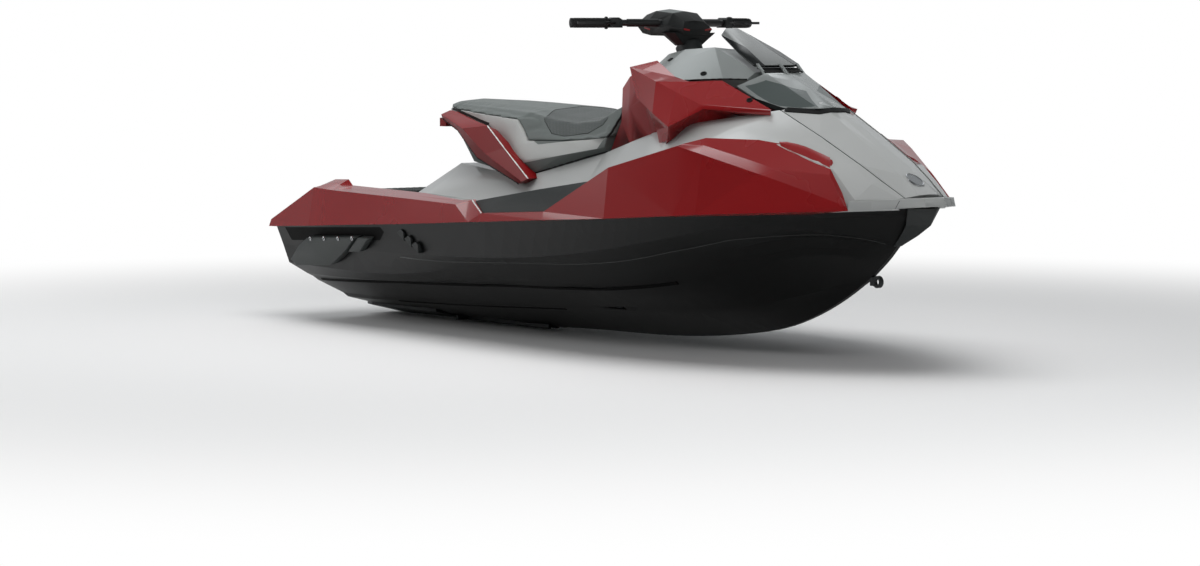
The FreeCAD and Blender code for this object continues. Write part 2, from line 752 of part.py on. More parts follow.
def moulding_of(right):
    """Solid between starboard lines given as points, and their mirror images."""
    left = [[Vector(p.x, -p.y, p.z) for p in line] for line in right]
    faces = []
    for side in (right, left):
        for first, second in zip(side, side[1:]):
            faces += strips(first, second, None)
    for end in (0, -1):
        if right[end][0].distanceToPoint(left[end][0]) > 0.01:
            faces += strips(right[end], left[end], None)
    for k in (0, -1):
        for index in range(len(right) - 1):
            faces += facets([right[index][k], right[index + 1][k],
                             left[index + 1][k], left[index][k]])
    return closed_solid(faces)


hood_depth = size("hood_depth").number
lid_gap = size("lid_gap").number
lip = line_points("deck_upper", -1)[9:14]
recess_edge = [lip[0] + (lip[0] - lip[1]) * 0.75] + lip[1:4] + [lip[4] + (lip[4] - lip[3]) * 0.5]
recess = form("hood_recess", moulding_of([
    shifted(recess_edge, height=250),
    shifted(recess_edge, inward=0.5, height=-hood_depth - lid_gap),
]))
bin_void = solid("Box", "storage_bin", Length=size("bin_length"), Width=size("bin_width"),
                 Height=draft)
put(bin_void, size("bin_rear"), -size("bin_width") / 2, size("bin_floor"))
deck = cut("deck", deck_lined, [well_right, well_left, recess, bin_void])

engine = solid("Box", "engine_block", Length=size("engine_length"), Width=size("engine_width"),
               Height=size("engine_height"))
engine.Label = "engine_block"
put(engine, size("bay_rear") + 30, -size("engine_width") / 2, size("bay_floor"))

# Red side panels over the join of hull and deck.
PANEL_LINES = ["panel_low", "panel_crease", "panel_step", "panel_crest", "panel_inner"]
panel_form = form("panel_form", panel(PANEL_LINES))
side_panel_right = cut("side_panel_right", panel_form, [hull_form, deck_lined, well_right])
side_panel_left = mirrored("side_panel_left", side_panel_right)

coaming_form = form("coaming_form", panel(["coaming_low", "coaming_top", "coaming_inside",
                                           "coaming_root"]))
coaming_right = cut("coaming_right", coaming_form, [hull_form, deck, side_panel_right])
coaming_left = mirrored("coaming_left", coaming_right)

bumper_form = form("bumper_form", hoop(["bumper_low", "bumper_top", "bumper_inner",
                                        "bumper_root"]))
bumper_seated = cut("bumper_seated", bumper_form, [hull_form, deck_lined, side_panel_right,
                                                   side_panel_left])
guard_form = form("guard_form", moulding(["guard_prow", "guard_side", "guard_back"]))
stem_guard = cut("stem_guard", guard_form, [hull_form, bumper_seated])

# Seat in two mouldings, the cushion on its base, and the cowl round its tail.
seat_base_form = form("seat_base_form", moulding(["seat_edge", "seat_side", "seat_foot"]))
seat_base = cut("seat_base", seat_base_form, [deck])
seat_cushion = form("seat_cushion", moulding(["seat_crown", "seat_shoulder", "seat_edge"]))
cowl_form = form("cowl_form", panel(["cowl_front", "cowl_ridge", "cowl_rear",
                                     "cowl_inner_rear", "cowl_inner_front"]))
cowl_form_left = mirrored("cowl_form_left", cowl_form)
grab_handle = solid("Box", "grab_handle", Length=size("handle_depth"),
                    Width=size("handle_span"), Height=size("handle_rise"))
put(grab_handle, size("handle_rear"), -size("handle_span") / 2, size("handle_height"))
cowl_whole = fuse("cowl_whole", [cowl_form, cowl_form_left, grab_handle])
rear_cowl = cut("rear_cowl", cowl_whole, [seat_base_form, seat_cushion, deck])

# Tank cover, wings with their legs, and the console.
console_form = form("console_form", moulding(["console_crown", "console_shoulder",
                                              "console_low", "console_root"]))
console = console_form
console.Label = "console"
wing_form = form("wing_form", panel(["wing_crease", "wing_low", "wing_under", "wing_inner"]))
leg_form = form("leg_form", panel(["leg_front", "leg_rear", "leg_inner_rear",
                                   "leg_inner_front"]))
wing_whole = fuse("wing_whole", [wing_form, leg_form])
wing_right = cut("wing_right", wing_whole, [deck, console_form])
wing_left = mirrored("wing_left", wing_right)
tank_form = form("tank_form", moulding(["tank_crown", "tank_top", "tank_mid", "tank_low"]))
tank_seated = cut("tank_seated", tank_form, [deck, seat_base_form, seat_cushion])
tank_between = cut("tank_between", tank_seated,
                   [wing_form, mirrored("wing_form_left", wing_form)])
tank_cover = cut("tank_cover", tank_between, [console_form])

# Hood with the nose module and the wind deflector on it, on two knuckles at the bumper.
hood_edge = shifted(lip, inward=lid_gap)
hood_edge[-1] = hood_edge[-1] + Vector(-2, 0, 0)
hood_form = form("hood_form", moulding_of([
    line_points("hood_crown", -1), line_points("hood_ridge", -1), hood_edge,
    shifted(hood_edge, inward=6, height=-hood_depth), line_points("hood_under", -1)]))
knuckle_radius = size("knuckle_radius")
knuckle_half = size("knuckle_half")
knuckle_width = size("knuckle_width")
hinge_along = size("hinge_along")
hinge_level = size("hinge_level")
knuckle = solid("Cylinder", "knuckle", Radius=knuckle_radius, Height=knuckle_width)
put(knuckle, hinge_along, knuckle_half + knuckle_width, hinge_level, Vector(1, 0, 0), 90)
knuckle_neck = solid("Box", "knuckle_neck", Length=knuckle_radius * 3, Width=knuckle_width,
                     Height=knuckle_radius * 2)
put(knuckle_neck, hinge_along - knuckle_radius * 3, knuckle_half, hinge_level - knuckle_radius)
knuckle_bore = solid("Cylinder", "knuckle_bore", Radius=size("hinge_pin") + gap,
                     Height=knuckle_half * 6)
put(knuckle_bore, hinge_along, knuckle_half * 3, hinge_level, Vector(1, 0, 0), 90)
hood_whole = fuse("hood_whole", [hood_form, knuckle, knuckle_neck,
                                 mirrored("knuckle_right", knuckle),
                                 mirrored("knuckle_neck_right", knuckle_neck)])
hood = cut("hood", hood_whole, [knuckle_bore])

knuckle_notch = solid("Box", "knuckle_notch", Length=knuckle_radius * 10,
                      Width=knuckle_width + size("knuckle_room") * 2, Height=knuckle_radius * 8)
put(knuckle_notch, hinge_along - knuckle_radius * 8.5, knuckle_half - size("knuckle_room"),
    hinge_level - knuckle_radius * 1.7)
hinge_pin = solid("Cylinder", "hinge_pin", Radius=size("hinge_pin"),
                  Height=knuckle_half * 5)
put(hinge_pin, hinge_along, knuckle_half * 2.5, hinge_level, Vector(1, 0, 0), 90)
bumper_notched = cut("bumper_notched", bumper_seated,
                     [knuckle_notch, mirrored("knuckle_notch_right", knuckle_notch)])
bow_bumper = fuse("bow_bumper", [bumper_notched, hinge_pin])
nose_form = form("nose_form", moulding(["nose_crown", "nose_ridge", "nose_edge", "nose_low",
                                        "nose_floor"]))
visor_centre = form("visor_centre", moulding(["visor_ridge", "visor_ridge_inner"]))
visor_side = form("visor_side", panel(["visor_ridge", "visor_edge", "visor_edge_inner",
                                       "visor_ridge_inner"]))
visor = fuse("visor", [visor_centre, visor_side, mirrored("visor_side_left", visor_side)])
posts = []
post_lean = size("post_lean").number
for name, along, across, level in (("left", 822, 82.5, 949), ("centre", 836, -5.5, 951)):
    post = solid("Box", "post_" + name, Length=size("post_length"), Width=size("post_width"),
                 Height=size("post_depth"))
    put(post, along, across, level, Vector(0, 1, 0), post_lean)
    posts.append(post)
posts.append(mirrored("post_right", posts[0]))
nose_whole = fuse("nose_whole", [nose_form] + posts)
nose_module = cut("nose_module", nose_whole, [hood, visor])

# Steering: a fixed neck, then the column, bar, pad and grips that turn together.
steer_x = size("steer_x")
steer_up = size("steer_up")
tilt = math.radians(size("steer_tilt").number)
steer_axis = Vector(-math.sin(tilt), 0, math.cos(tilt))
neck_top = size("neck_length").number + gap.number
neck_form = solid("Cylinder", "neck_form", Radius=size("neck_radius"),
                  Height=size("neck_length"))
put(neck_form, steer_x, 0, steer_up, Vector(0, 1, 0), -size("steer_tilt").number)
steering_neck = cut("steering_neck", neck_form, [console_form, tank_form])
column = solid("Cylinder", "column_form", Radius=size("column_radius"),
               Height=size("column_length"))
put(column, steer_x + steer_axis.x * neck_top, 0, steer_up + steer_axis.z * neck_top,
    Vector(0, 1, 0), -size("steer_tilt").number)

bar_level = size("bar_height").number
bends = [(size("bar_end_x"), -size("bar_end")), (size("bar_centre"), -size("bar_flat")),
         (size("bar_centre"), size("bar_flat")), (size("bar_end_x"), size("bar_end"))]
bend_points = [Vector(a.number, b.number, bar_level) for a, b in bends]
bar_run = bend_points[0] - bend_points[1]
bar_turn = math.degrees(math.atan2(bar_run.y, bar_run.x))
bar_run.normalize()
tube_ring = Part.Wire([Part.makeCircle(size("bar_radius").number, bend_points[0], bar_run)])
tube = Part.makePolygon(bend_points).makePipeShell([tube_ring], True, False, 1)
handlebar_tube = form("handlebar_tube", tube)
handlebar_body = handlebar_tube
handlebar = fuse("handlebar", [column, handlebar_body])
pad_form = form("pad_form", moulding(["pad_crown", "pad_shoulder", "pad_edge", "pad_root"]))
bar_pad = cut("bar_pad", pad_form, [handlebar])

grip_body = body("grip_body")
grip_length = size("grip_length")
bore = size("bar_radius") + gap
grip_shape = outline(grip_body, "grip_shape", "XZ_Plane", [
    (-grip_length, bore), (-grip_length, size("grip_flange")),
    (-grip_length + size("grip_cap"), size("grip_flange")),
    (-grip_length + size("grip_cap"), size("grip_radius")),
    (size("grip_cap"), size("grip_radius")), (size("grip_cap"), 0), (gap, 0), (gap, bore),
])
revolve(grip_body, "grip_turn", grip_shape)
put(grip_body, size("bar_end_x"), -size("bar_end"), size("bar_height"), Vector(0, 0, 1),
    bar_turn)
grip_right = grip_body
grip_right.Label = "grip_right"
grip_left = mirrored("grip_left", grip_right)

pod_body = body("pod_body")
pod_shape = outline(pod_body, "pod_shape", "XZ_Plane", [
    (-size("pod_length"), -size("pod_height") / 2), (0, -size("pod_height") / 2),
    (0, size("pod_height") / 2.6), (-size("pod_length") / 4, size("pod_height") / 1.8),
    (-size("pod_length") / 1.4, size("pod_height") / 1.8),
    (-size("pod_length"), size("pod_height") / 3),
])
pad(pod_body, "pod_pad", pod_shape, size("pod_width"), both=True)
pod_back = grip_length + size("grip_cap") + gap
put(pod_body, size("bar_end_x") - pod_back * bar_run.x, -size("bar_end") - pod_back * bar_run.y,
    size("bar_height"), Vector(0, 0, 1), bar_turn)
pod_right = cut("pod_right", pod_body, [handlebar])
pod_left = mirrored("pod_left", pod_right)
control_pods = fuse("control_pods", [pod_right, pod_left])

lever_body = body("lever_body")
lever_shape = outline(lever_body, "lever_shape", "XY_Plane", [
    (-size("pod_length") / 2, size("pod_width") / 2 + gap),
    (-size("pod_length") / 5, size("pod_width") / 2 + gap),
    (size("lever_length") / 4, size("pod_width")),
    (size("lever_length"), size("pod_width") * 1.1),
    (size("lever_length"), size("pod_width") * 1.35),
    (size("lever_length") / 5, size("pod_width") * 1.3),
])
pad(lever_body, "lever_pad", lever_shape, 9, both=True)
put(lever_body, size("bar_end_x") - pod_back * bar_run.x,
    -size("bar_end") - pod_back * bar_run.y, size("bar_height"), Vector(0, 0, 1), bar_turn)
lever_left = mirrored("lever_left", lever_body)
levers = fuse("levers", [lever_body, lever_left])

# Water jet: the pump's housing with its stator, bolted to the front wall of the tunnel.
housing_body = body("housing_body")
housing_shape = outline(housing_body, "housing_shape", "XZ_Plane", [
    (0, jet_bore), (0, jet_outer + size("flange_height")),
    (-size("flange_depth"), jet_outer + size("flange_height")),
    (-size("flange_depth"), jet_outer), (-jet_rear, jet_outer), (-cone_end, spout_outer),
    (-spout_end, spout_outer), (-spout_end, size("jet_mouth")),
    (-cone_end, size("jet_mouth")), (-jet_rear, jet_bore),
])
revolve(housing_body, "housing_turn", housing_shape)
vane_shape = outline(housing_body, "vane_shape", "XZ_Plane", [
    (-jet_rear + 8, size("stator_hub") - 8), (-jet_rear + 8, jet_bore + 2),
    (-jet_rear + 70, jet_bore + 2), (-jet_rear + 64, size("stator_hub") - 8),
])
vane = pad(housing_body, "vane", vane_shape, 4, both=True)
vanes = housing_body.newObject("PartDesign::PolarPattern", "vanes")
vanes.Originals = [vane]
vanes.Axis = ([item for item in housing_body.Origin.OriginFeatures
               if item.Role == "X_Axis"][0], [""])
vanes.Angle = 360
vanes.setExpression("Occurrences", size("stator_blades").text)
housing_body.Tip = vanes
hub_shape = outline(housing_body, "hub_shape", "XZ_Plane", [
    (-jet_rear + 72, 0), (-jet_rear + 72, size("stator_hub")), (-jet_rear, size("stator_hub")),
    (-cone_end, size("stator_hub") / 4), (-cone_end, 0),
])
revolve(housing_body, "hub_turn", hub_shape)
put(housing_body, jet_face, 0, jet_up)

pivot = size("pivot_radius")
ear_half = pivot * 2.3
housing_parts = [housing_body]
housing_holes = []
for name, turn, offset in (("top", 0, ear_from), ("bottom", 180, ear_from),
                           ("right", 90, ear_from + 4), ("left", -90, ear_from + 4)):
    ear = body("ear_" + name)
    ear_shape = outline(ear, "ear_shape_" + name, "XY_Plane", [
        (ear_half / 2, -ear_half), (size("jet_cone") + 42, -ear_half * 1.5),
        (size("jet_cone") + 42, ear_half * 1.5), (ear_half / 2, ear_half),
        (-ear_half / 2, ear_half), (-ear_half, ear_half / 2), (-ear_half, -ear_half / 2),
        (-ear_half / 2, -ear_half),
    ])
    ear_shape.AttachmentOffset = Placement(Vector(0, 0, offset.number), Rotation())
    ear_shape.setExpression("AttachmentOffset.Base.z", offset.text)
    pad(ear, "ear_pad_" + name, ear_shape, lug)
    hole = ring(ear, "ear_hole_" + name, "XY_Plane", [(0, 0, pivot + gap)])
    drill = pocket(ear, "ear_drill_" + name, hole, 300, both=True)
    put(ear, hinge_x, 0, jet_up, Vector(1, 0, 0), turn)
    housing_parts.append(ear)
pump_housing = fuse("pump_housing", housing_parts)

# Impeller on its shaft: four swept blades on a hub.
hub_body = body("impeller_hub_body")
hub_front = size("impeller_set")
impeller_length = size("impeller_length")
hub_profile = outline(hub_body, "impeller_hub_shape", "XZ_Plane", [
    (-hub_front + 12, 0), (-hub_front + 12, size("shaft_radius") + 4),
    (-hub_front - 18, size("impeller_hub")),
    (-hub_front - impeller_length, size("impeller_hub")),
    (-hub_front - impeller_length, 0),
])
revolve(hub_body, "impeller_hub_turn", hub_profile)
put(hub_body, jet_face, 0, jet_up)


def blade(start, sweep, front, rear, root, tip, thickness):
    """One screw blade: four lines that wind round the shaft."""
    lines = []
    for radius, back in ((root, 0), (tip, 0), (tip, thickness), (root, thickness)):
        points = []
        for k in range(7):
            share = k / 6
            angle = math.radians(start + sweep * share)
            points.append(Vector(front + (rear - front) * share - back,
                                 radius * math.sin(angle), radius * math.cos(angle)))
        lines.append(points)
    faces = []
    for first, second in zip(lines, lines[1:] + lines[:1]):
        faces += strips(first, second, None)
    for k in (0, -1):
        faces += facets([points[k] for points in lines])
    return closed_solid(faces)


blade_count = int(size("impeller_blades").number)
blades = [blade(360 / blade_count * k, 95, -hub_front.number - 16,
                -hub_front.number - impeller_length.number + 8,
                size("impeller_hub").number - 4,
                jet_bore.number - size("impeller_gap").number, 5) for k in range(blade_count)]
blade_set = doc.addObject("Part::Feature", "blade_set")
blade_set.Shape = Part.makeCompound(blades)
blade_set.Placement = Placement(
    Vector(jet_face.number, 0, jet_up.number - draft.number), Rotation())
engine_back = size("bay_rear") + 30
shaft = solid("Cylinder", "drive_shaft", Radius=size("shaft_radius"),
              Height=engine_back - gap - jet_face + hub_front)
put(shaft, jet_face - hub_front, 0, jet_up, Vector(0, 1, 0), 90)
impeller = fuse("impeller", [hub_body, blade_set, shaft])

# Steering nozzle: a bell over the spout, with a pin above and below.
nozzle_body = body("nozzle_body")
bell = size("nozzle_bell")
wall = size("nozzle_wall")
lead = size("nozzle_lead")
reach = size("nozzle_length")
nozzle_shape = outline(nozzle_body, "nozzle_shape", "XZ_Plane", [
    (lead / 1.5, bell), (lead / 1.5, bell + wall), (-lead * 1.8, bell + wall),
    (-reach, size("nozzle_mouth") + wall), (-reach, size("nozzle_mouth")),
    (-lead * 1.8, bell),
])
revolve(nozzle_body, "nozzle_turn", nozzle_shape)
put(nozzle_body, hinge_x, 0, jet_up)
nozzle_pins = []
for name, turn in (("top", 0), ("bottom", 180)):
    pin = solid("Cylinder", "nozzle_pin_" + name, Radius=pivot,
                Height=wall / 2 + 6 + lug + 2)
    level = bell_outer - wall / 2
    put(pin, hinge_x, 0, jet_up + (level if turn == 0 else -level), Vector(1, 0, 0), turn)
    nozzle_pins.append(pin)
nozzle = fuse("steering_nozzle", [nozzle_body] + nozzle_pins)

# Reverse bucket: a curved scoop between two arms that turn on the housing's side ears.
start = math.radians(size("bucket_from").number)
aft_up = Vector(-math.cos(start), 0, math.sin(start))
swing = Rotation(aft_up, Vector(math.sin(start), 0, math.cos(start)), Vector(0, 1, 0), "ZXY")


def swung(name, radius, height, from_y, angle):
    target = solid("Cylinder", name, Radius=radius, Height=height, Angle=angle)
    target.Placement = Placement(Vector(), swing)
    target.setExpression("Placement.Base.x", hinge_x.text)
    target.setExpression("Placement.Base.y", from_y.text)
    target.setExpression("Placement.Base.z", (jet_up - draft).text)
    return target


sweep = size("bucket_sweep")
scoop_outer = swung("scoop_outer", bucket_out, half * 2, -half, sweep)
scoop_inner = swung("scoop_inner", bucket_in, half * 2 + 4, -half - 2, 360)
scoop = cut("scoop", scoop_outer, [scoop_inner])
arm_right = swung("arm_right", bucket_out, arm, -half - arm, sweep)
arm_left = swung("arm_left", bucket_out, arm, half, sweep)
boss_right = swung("boss_right", ear_half, arm, -half - arm, 360)
boss_left = swung("boss_left", ear_half, arm, half, 360)
pin_right = swung("pin_right", pivot, arm + lug + 1, -half - arm, 360)
pin_left = swung("pin_left", pivot, arm + lug + 1, half - lug - 1, 360)
reverse_bucket = fuse("reverse_bucket", [scoop, arm_right, arm_left, boss_right, boss_left,
                                         pin_right, pin_left])

# Ride plate that closes the tunnel below the pump, and the grate over the intake.
plate_form = form("plate_form", moulding(["plate_keel", "plate_edge", "plate_rim",
                                          "plate_top"]))
ride_plate = cut("ride_plate", plate_form, [hull])
grate_bars = []
for index in (-1, 0, 1):
    bar = solid("Box", "grate_bar_%d" % (index + 1), Length=size("duct_front") - size("duct_lip") + 60,
                Width=size("grate_bar"), Height=size("grate_depth"))
    put(bar, size("duct_lip") - 20, size("grate_pitch") * index - size("grate_bar") / 2,
        size("grate_level"))
    grate_bars.append(bar)
cross = solid("Box", "grate_cross", Length=size("grate_bar"), Width=size("duct_width") + 20,
              Height=size("grate_depth"))
put(cross, size("duct_lip") + 30, -size("duct_width") / 2 - 10, size("grate_level"))
grate_form = fuse("grate_form", grate_bars + [cross])
intake_grate = cut("intake_grate", grate_form, [hull, ride_plate])

# Sponsons: bevelled planing blades screwed to the flanks.
sponson_body = body("sponson_body")
sponson_shape = outline(sponson_body, "sponson_shape", "XZ_Plane", [
    (0, size("sponson_rise") * 0.17), (36, 0),
    (size("sponson_length") * 0.57, size("sponson_rise") * 0.12),
    (size("sponson_length") * 0.83, size("sponson_rise") * 0.6),
    (size("sponson_length"), size("sponson_rise")),
    (size("sponson_length") * 0.32, size("sponson_rise") * 0.86),
    (size("sponson_length") * 0.165, size("sponson_rise") * 0.6),
])
sponson_pad = pad(sponson_body, "sponson_pad", sponson_shape, size("sponson_stand"))
sponson_step = outline(sponson_body, "sponson_step", "XZ_Plane", [
    (size("sponson_length") * 0.84, size("sponson_rise") * 0.56),
    (size("sponson_length") * 1.0, size("sponson_rise") * 0.58),
    (size("sponson_length") * 1.16, size("sponson_rise")),
    (size("sponson_length") * 1.02, size("sponson_rise") * 0.99),
])
pad(sponson_body, "step_pad", sponson_step, size("sponson_stand") * 0.86)
lean = Rotation(Vector(0, 0, 1), -size("sponson_plan").number).multiply(
    Rotation(Vector(1, 0, 0), size("sponson_lean").number))
sponson_body.Placement = Placement(Vector(), lean)
for axis, value in (("x", size("sponson_x")), ("y", -size("sponson_half")),
                    ("z", size("sponson_height") - draft)):
    sponson_body.setExpression("Placement.Base." + axis, value.text)
sponson_right = cut("sponson_right", sponson_body, [hull_form])
sponson_left = mirrored("sponson_left", sponson_right)

vent_body = body("vent_body")
vent_side = size("vent_side")
vent_shape = outline(vent_body, "vent_shape", "XZ_Plane", [
    (0, 0), (vent_side, -vent_side * 0.62), (vent_side * 0.9, vent_side * 0.1),
    (vent_side * 0.55, vent_side * 0.28),
])
vent_pad = pad(vent_body, "vent_pad", vent_shape, size("vent_stand"))
vent_body.AllowCompound = True
vent_row = sketch(vent_body, "vent_row", "XZ_Plane")
vent_row.addGeometry(Part.LineSegment(Vector(0, 0, 0), Vector(100, -44, 0)), False)
vents = vent_body.newObject("PartDesign::LinearPattern", "vents")
vents.Originals = [vent_pad]
vents.Direction = (vent_row, ["Edge1"])
vents.setExpression("Length", (vent_side * 2.2).text)
vents.Occurrences = 3
vent_body.Tip = vents
put(vent_body, size("vent_x"), -size("vent_half"), size("vent_height"))
vents_right = cut("vents_right", vent_body, [hull_form])
vents_left = mirrored("vents_left", vents_right)
side_vents = fuse("side_vents", [vents_right, vents_left])

# Eyes for a line, on the stem and on the transom.
eye_bore = size("eye_bore")
eye_outer = eye_bore + size("eye_rim")
eye_width = size("eye_width")


def eye(name, along, across, height):
    rim = solid("Cylinder", name + "_rim", Radius=eye_outer, Height=eye_width)
    put(rim, along, across + eye_width / 2, height, Vector(1, 0, 0), 90)
    foot = solid("Box", name + "_foot", Length=eye_outer * 1.6, Width=eye_width,
                 Height=eye_outer * 1.4)
    inward = -eye_outer * 1.6 if name == "bow" else Dim(0, "0")
    put(foot, along + inward, across - eye_width / 2, height - eye_outer * 0.7)
    hole = solid("Cylinder", name + "_hole", Radius=eye_bore, Height=eye_width * 3)
    put(hole, along, across + eye_width * 1.5, height, Vector(1, 0, 0), 90)
    whole = fuse(name + "_whole", [rim, foot])
    return cut(name + "_eye", whole, [hull_form, hole])


bow_eye = eye("bow", size("bow_eye_x"), Dim(0, "0"), size("bow_eye_height"))
stern_right = eye("stern_right", size("stern_eye_x"), -size("stern_eye_half"),
                  size("stern_eye_height"))
stern_left = eye("stern_left", size("stern_eye_x"), size("stern_eye_half"),
                 size("stern_eye_height"))
stern_eyes = fuse("stern_eyes", [stern_right, stern_left])

# Mats on the boarding platform and in the footwells.
mat_form = form("mat_form", moulding(["mat_top", "mat_root"]))
stern_mat = cut("stern_mat", mat_form, [deck_block])
mat_thickness = size("mat_thickness").number


def floor_mat(name, side):
    inner = shifted(line_points("well_floor_inner", side), inward=-3)
    outer = shifted(line_points("well_floor_outer", side), inward=3)
    loop = [inner, outer, shifted(outer, height=mat_thickness, inward=-2),
            shifted(inner, height=mat_thickness, inward=1)]
    faces = []
    for first, second in zip(loop, loop[1:] + loop[:1]):
        faces += strips(first, second, None)
    for k in (0, -1):
        faces += facets([points[k] for points in loop])
    return form(name, closed_solid(faces))


footwell_mats = fuse("footwell_mats", [floor_mat("mat_right", -1), floor_mat("mat_left", 1)])

NODES = [hull, deck, engine, side_panel_right, side_panel_left, coaming_right, coaming_left,
         bow_bumper, stem_guard, seat_base, seat_cushion, rear_cowl, console, wing_right,
         wing_left, tank_cover, hood, nose_module, visor, steering_neck, handlebar, bar_pad,
         grip_right, grip_left, control_pods, levers, pump_housing, impeller, nozzle,
         reverse_bucket, ride_plate, intake_grate, sponson_right, sponson_left, side_vents,
         bow_eye, stern_eyes, stern_mat, footwell_mats]
doc.recompute()
for item in doc.Objects:
    if "Invalid" in item.State or "Error" in item.State:
        raise RuntimeError("%s failed: %s" % (item.Name, item.State))
os.makedirs("parts", exist_ok=True)
for node in NODES:
    shape = node.Shape
    if shape.isNull() or not shape.isValid() or not shape.Solids:
        raise RuntimeError("%s has no valid solid" % node.Label)
    shape.exportStep("parts/%s.step" % node.Label)
    print(node.Label, len(shape.Solids), round(shape.Volume / 1e6, 2))
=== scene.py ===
"""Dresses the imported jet-driven watercraft and lights it in a plain studio.

Every length in the sub-assemblies is in millimetres of the row frame (X to the bow, Y to port, Z up
from the waterline) and is turned into metres by at(). Points of one side are given for starboard,
and angles in degrees.
"""
from __future__ import annotations

import json
import logging
import math
from dataclasses import dataclass
from enum import Enum
from typing import Callable, Iterable, Optional, Sequence, Union

import bmesh
import bpy
from mathutils import Matrix, Vector
from mathutils.bvhtree import BVHTree

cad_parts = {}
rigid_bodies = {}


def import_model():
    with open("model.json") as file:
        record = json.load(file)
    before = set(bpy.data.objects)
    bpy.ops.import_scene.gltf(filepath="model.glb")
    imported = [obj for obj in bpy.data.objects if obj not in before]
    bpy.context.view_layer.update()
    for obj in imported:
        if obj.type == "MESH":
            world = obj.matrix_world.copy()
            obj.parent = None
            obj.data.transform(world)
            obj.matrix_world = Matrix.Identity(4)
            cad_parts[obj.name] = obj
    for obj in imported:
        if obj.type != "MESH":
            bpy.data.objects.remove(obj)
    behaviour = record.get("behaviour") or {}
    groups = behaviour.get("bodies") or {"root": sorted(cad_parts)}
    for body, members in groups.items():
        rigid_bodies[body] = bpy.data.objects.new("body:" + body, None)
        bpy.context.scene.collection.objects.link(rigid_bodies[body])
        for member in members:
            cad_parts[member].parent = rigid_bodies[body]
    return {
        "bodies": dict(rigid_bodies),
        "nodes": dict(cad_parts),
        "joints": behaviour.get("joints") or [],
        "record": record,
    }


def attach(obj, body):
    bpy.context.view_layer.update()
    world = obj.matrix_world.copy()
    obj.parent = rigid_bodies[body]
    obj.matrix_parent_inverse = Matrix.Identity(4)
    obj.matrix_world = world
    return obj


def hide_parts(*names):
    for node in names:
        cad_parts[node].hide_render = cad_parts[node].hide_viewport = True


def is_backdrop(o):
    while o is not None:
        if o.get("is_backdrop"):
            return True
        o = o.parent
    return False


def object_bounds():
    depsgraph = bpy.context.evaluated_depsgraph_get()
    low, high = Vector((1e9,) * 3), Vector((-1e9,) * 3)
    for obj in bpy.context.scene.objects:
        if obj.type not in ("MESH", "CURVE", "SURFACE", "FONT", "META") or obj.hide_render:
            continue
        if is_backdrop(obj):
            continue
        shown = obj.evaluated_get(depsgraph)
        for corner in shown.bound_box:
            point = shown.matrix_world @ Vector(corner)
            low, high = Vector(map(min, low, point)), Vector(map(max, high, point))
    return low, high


LOG = logging.getLogger("watercraft")
MM = 0.001
MERGE = 2e-5  # corners nearer than this, in metres, are one
ON_CORNER = 1e-6  # a cut this near a corner, in metres, goes through it
FLAT = 0.4  # faces that turn by less are made one
CREASE = 24.0  # an edge that turns by more shades sharp
FACETED = 17.0  # the same on mouldings with flat facets
SOFT = 30.0  # the same on rounded ones
ROUNDED_FROM = 9.0  # an edge that turns by more gets its rounding
UP = Vector((0, 0, 1))
SIDES = (-1, 1)
SIDE_NAMES = {-1: "right", 1: "left"}

Triple = tuple[float, float, float]
Pair = tuple[float, float]
Course = tuple[Sequence[Vector], Sequence[Vector]]
Socket = bpy.types.NodeSocket


def at(x: float, y: float, z: float) -> Vector:
    """Turns millimetres of the row frame into a point in metres."""
    return Vector((x, y, z)) * MM


def mirrored(points: Iterable[Triple], side: int) -> list[Triple]:
    """Puts points given for starboard on a side, -1 for starboard or 1 for port."""
    return [(x, -side * y, z) for x, y, z in points]


def doubled(points: Sequence[tuple], skip: int = 0) -> list[tuple]:
    """Runs on from a side's points through their mirror images, without the first few of these."""
    return list(points) + [(x, -y, *rest) for x, y, *rest in points[::-1]][skip:]


def parted(found: Sequence[tuple[Vector, Vector]]) -> Course:
    """Parts pairs of a place and the facing there into the places and the facings."""
    return [place for place, _ in found], [facing for _, facing in found]


def tone(*shares: int) -> tuple[float, ...]:
    """Turns a screen colour into a linear one for a shader.

    Args:
        shares: its red, green and blue, from 0 to 255.

    Returns:
        Linear red, green, blue and a full alpha.
    """
    levels = [share / 255 for share in shares]
    linear = [v / 12.92 if v <= 0.04045 else ((v + 0.055) / 1.055) ** 2.4 for v in levels]
    return (*linear, 1.0)


# Shader groups and finishes


class Pen:
    """Adds nodes to one tree and joins them."""

    def __init__(self, tree: bpy.types.NodeTree) -> None:
        """Keeps the tree that it writes to."""
        self.tree = tree

    def fill(self, node: bpy.types.Node, values: dict) -> None:
        """Sets or joins a node's inputs.

        Args:
            node: the node.
            values: a plain value or another node's output, by the input's name or number.
        """
        for key, value in values.items():
            if isinstance(value, Socket):
                self.tree.links.new(value, node.inputs[key])
            else:
                node.inputs[key].default_value = value

    def add(self, kind: str, values: Optional[dict] = None, **settings: object) -> bpy.types.Node:
        """Adds one node.

        Args:
            kind: the node's type name.
            values: its inputs, as fill() takes them.
            settings: the node's own properties.

        Returns:
            The new node.
        """
        node = self.tree.nodes.new(kind)
        for key, value in settings.items():
            setattr(node, key, value)
        self.fill(node, values or {})
        return node

    def out(self, kind: str, values: Optional[dict] = None, output: Union[int, str] = 0,
            **settings: object) -> Socket:
        """Adds one node as add() does and gives its output of that name or number."""
        return self.add(kind, values, **settings).outputs[output]

    def math(self, operation: str, one: Union[float, Socket], two: Union[float, Socket]) -> Socket:
        """Adds a sum, a product or the like of two values."""
        return self.out("ShaderNodeMath", {0: one, 1: two}, operation=operation)


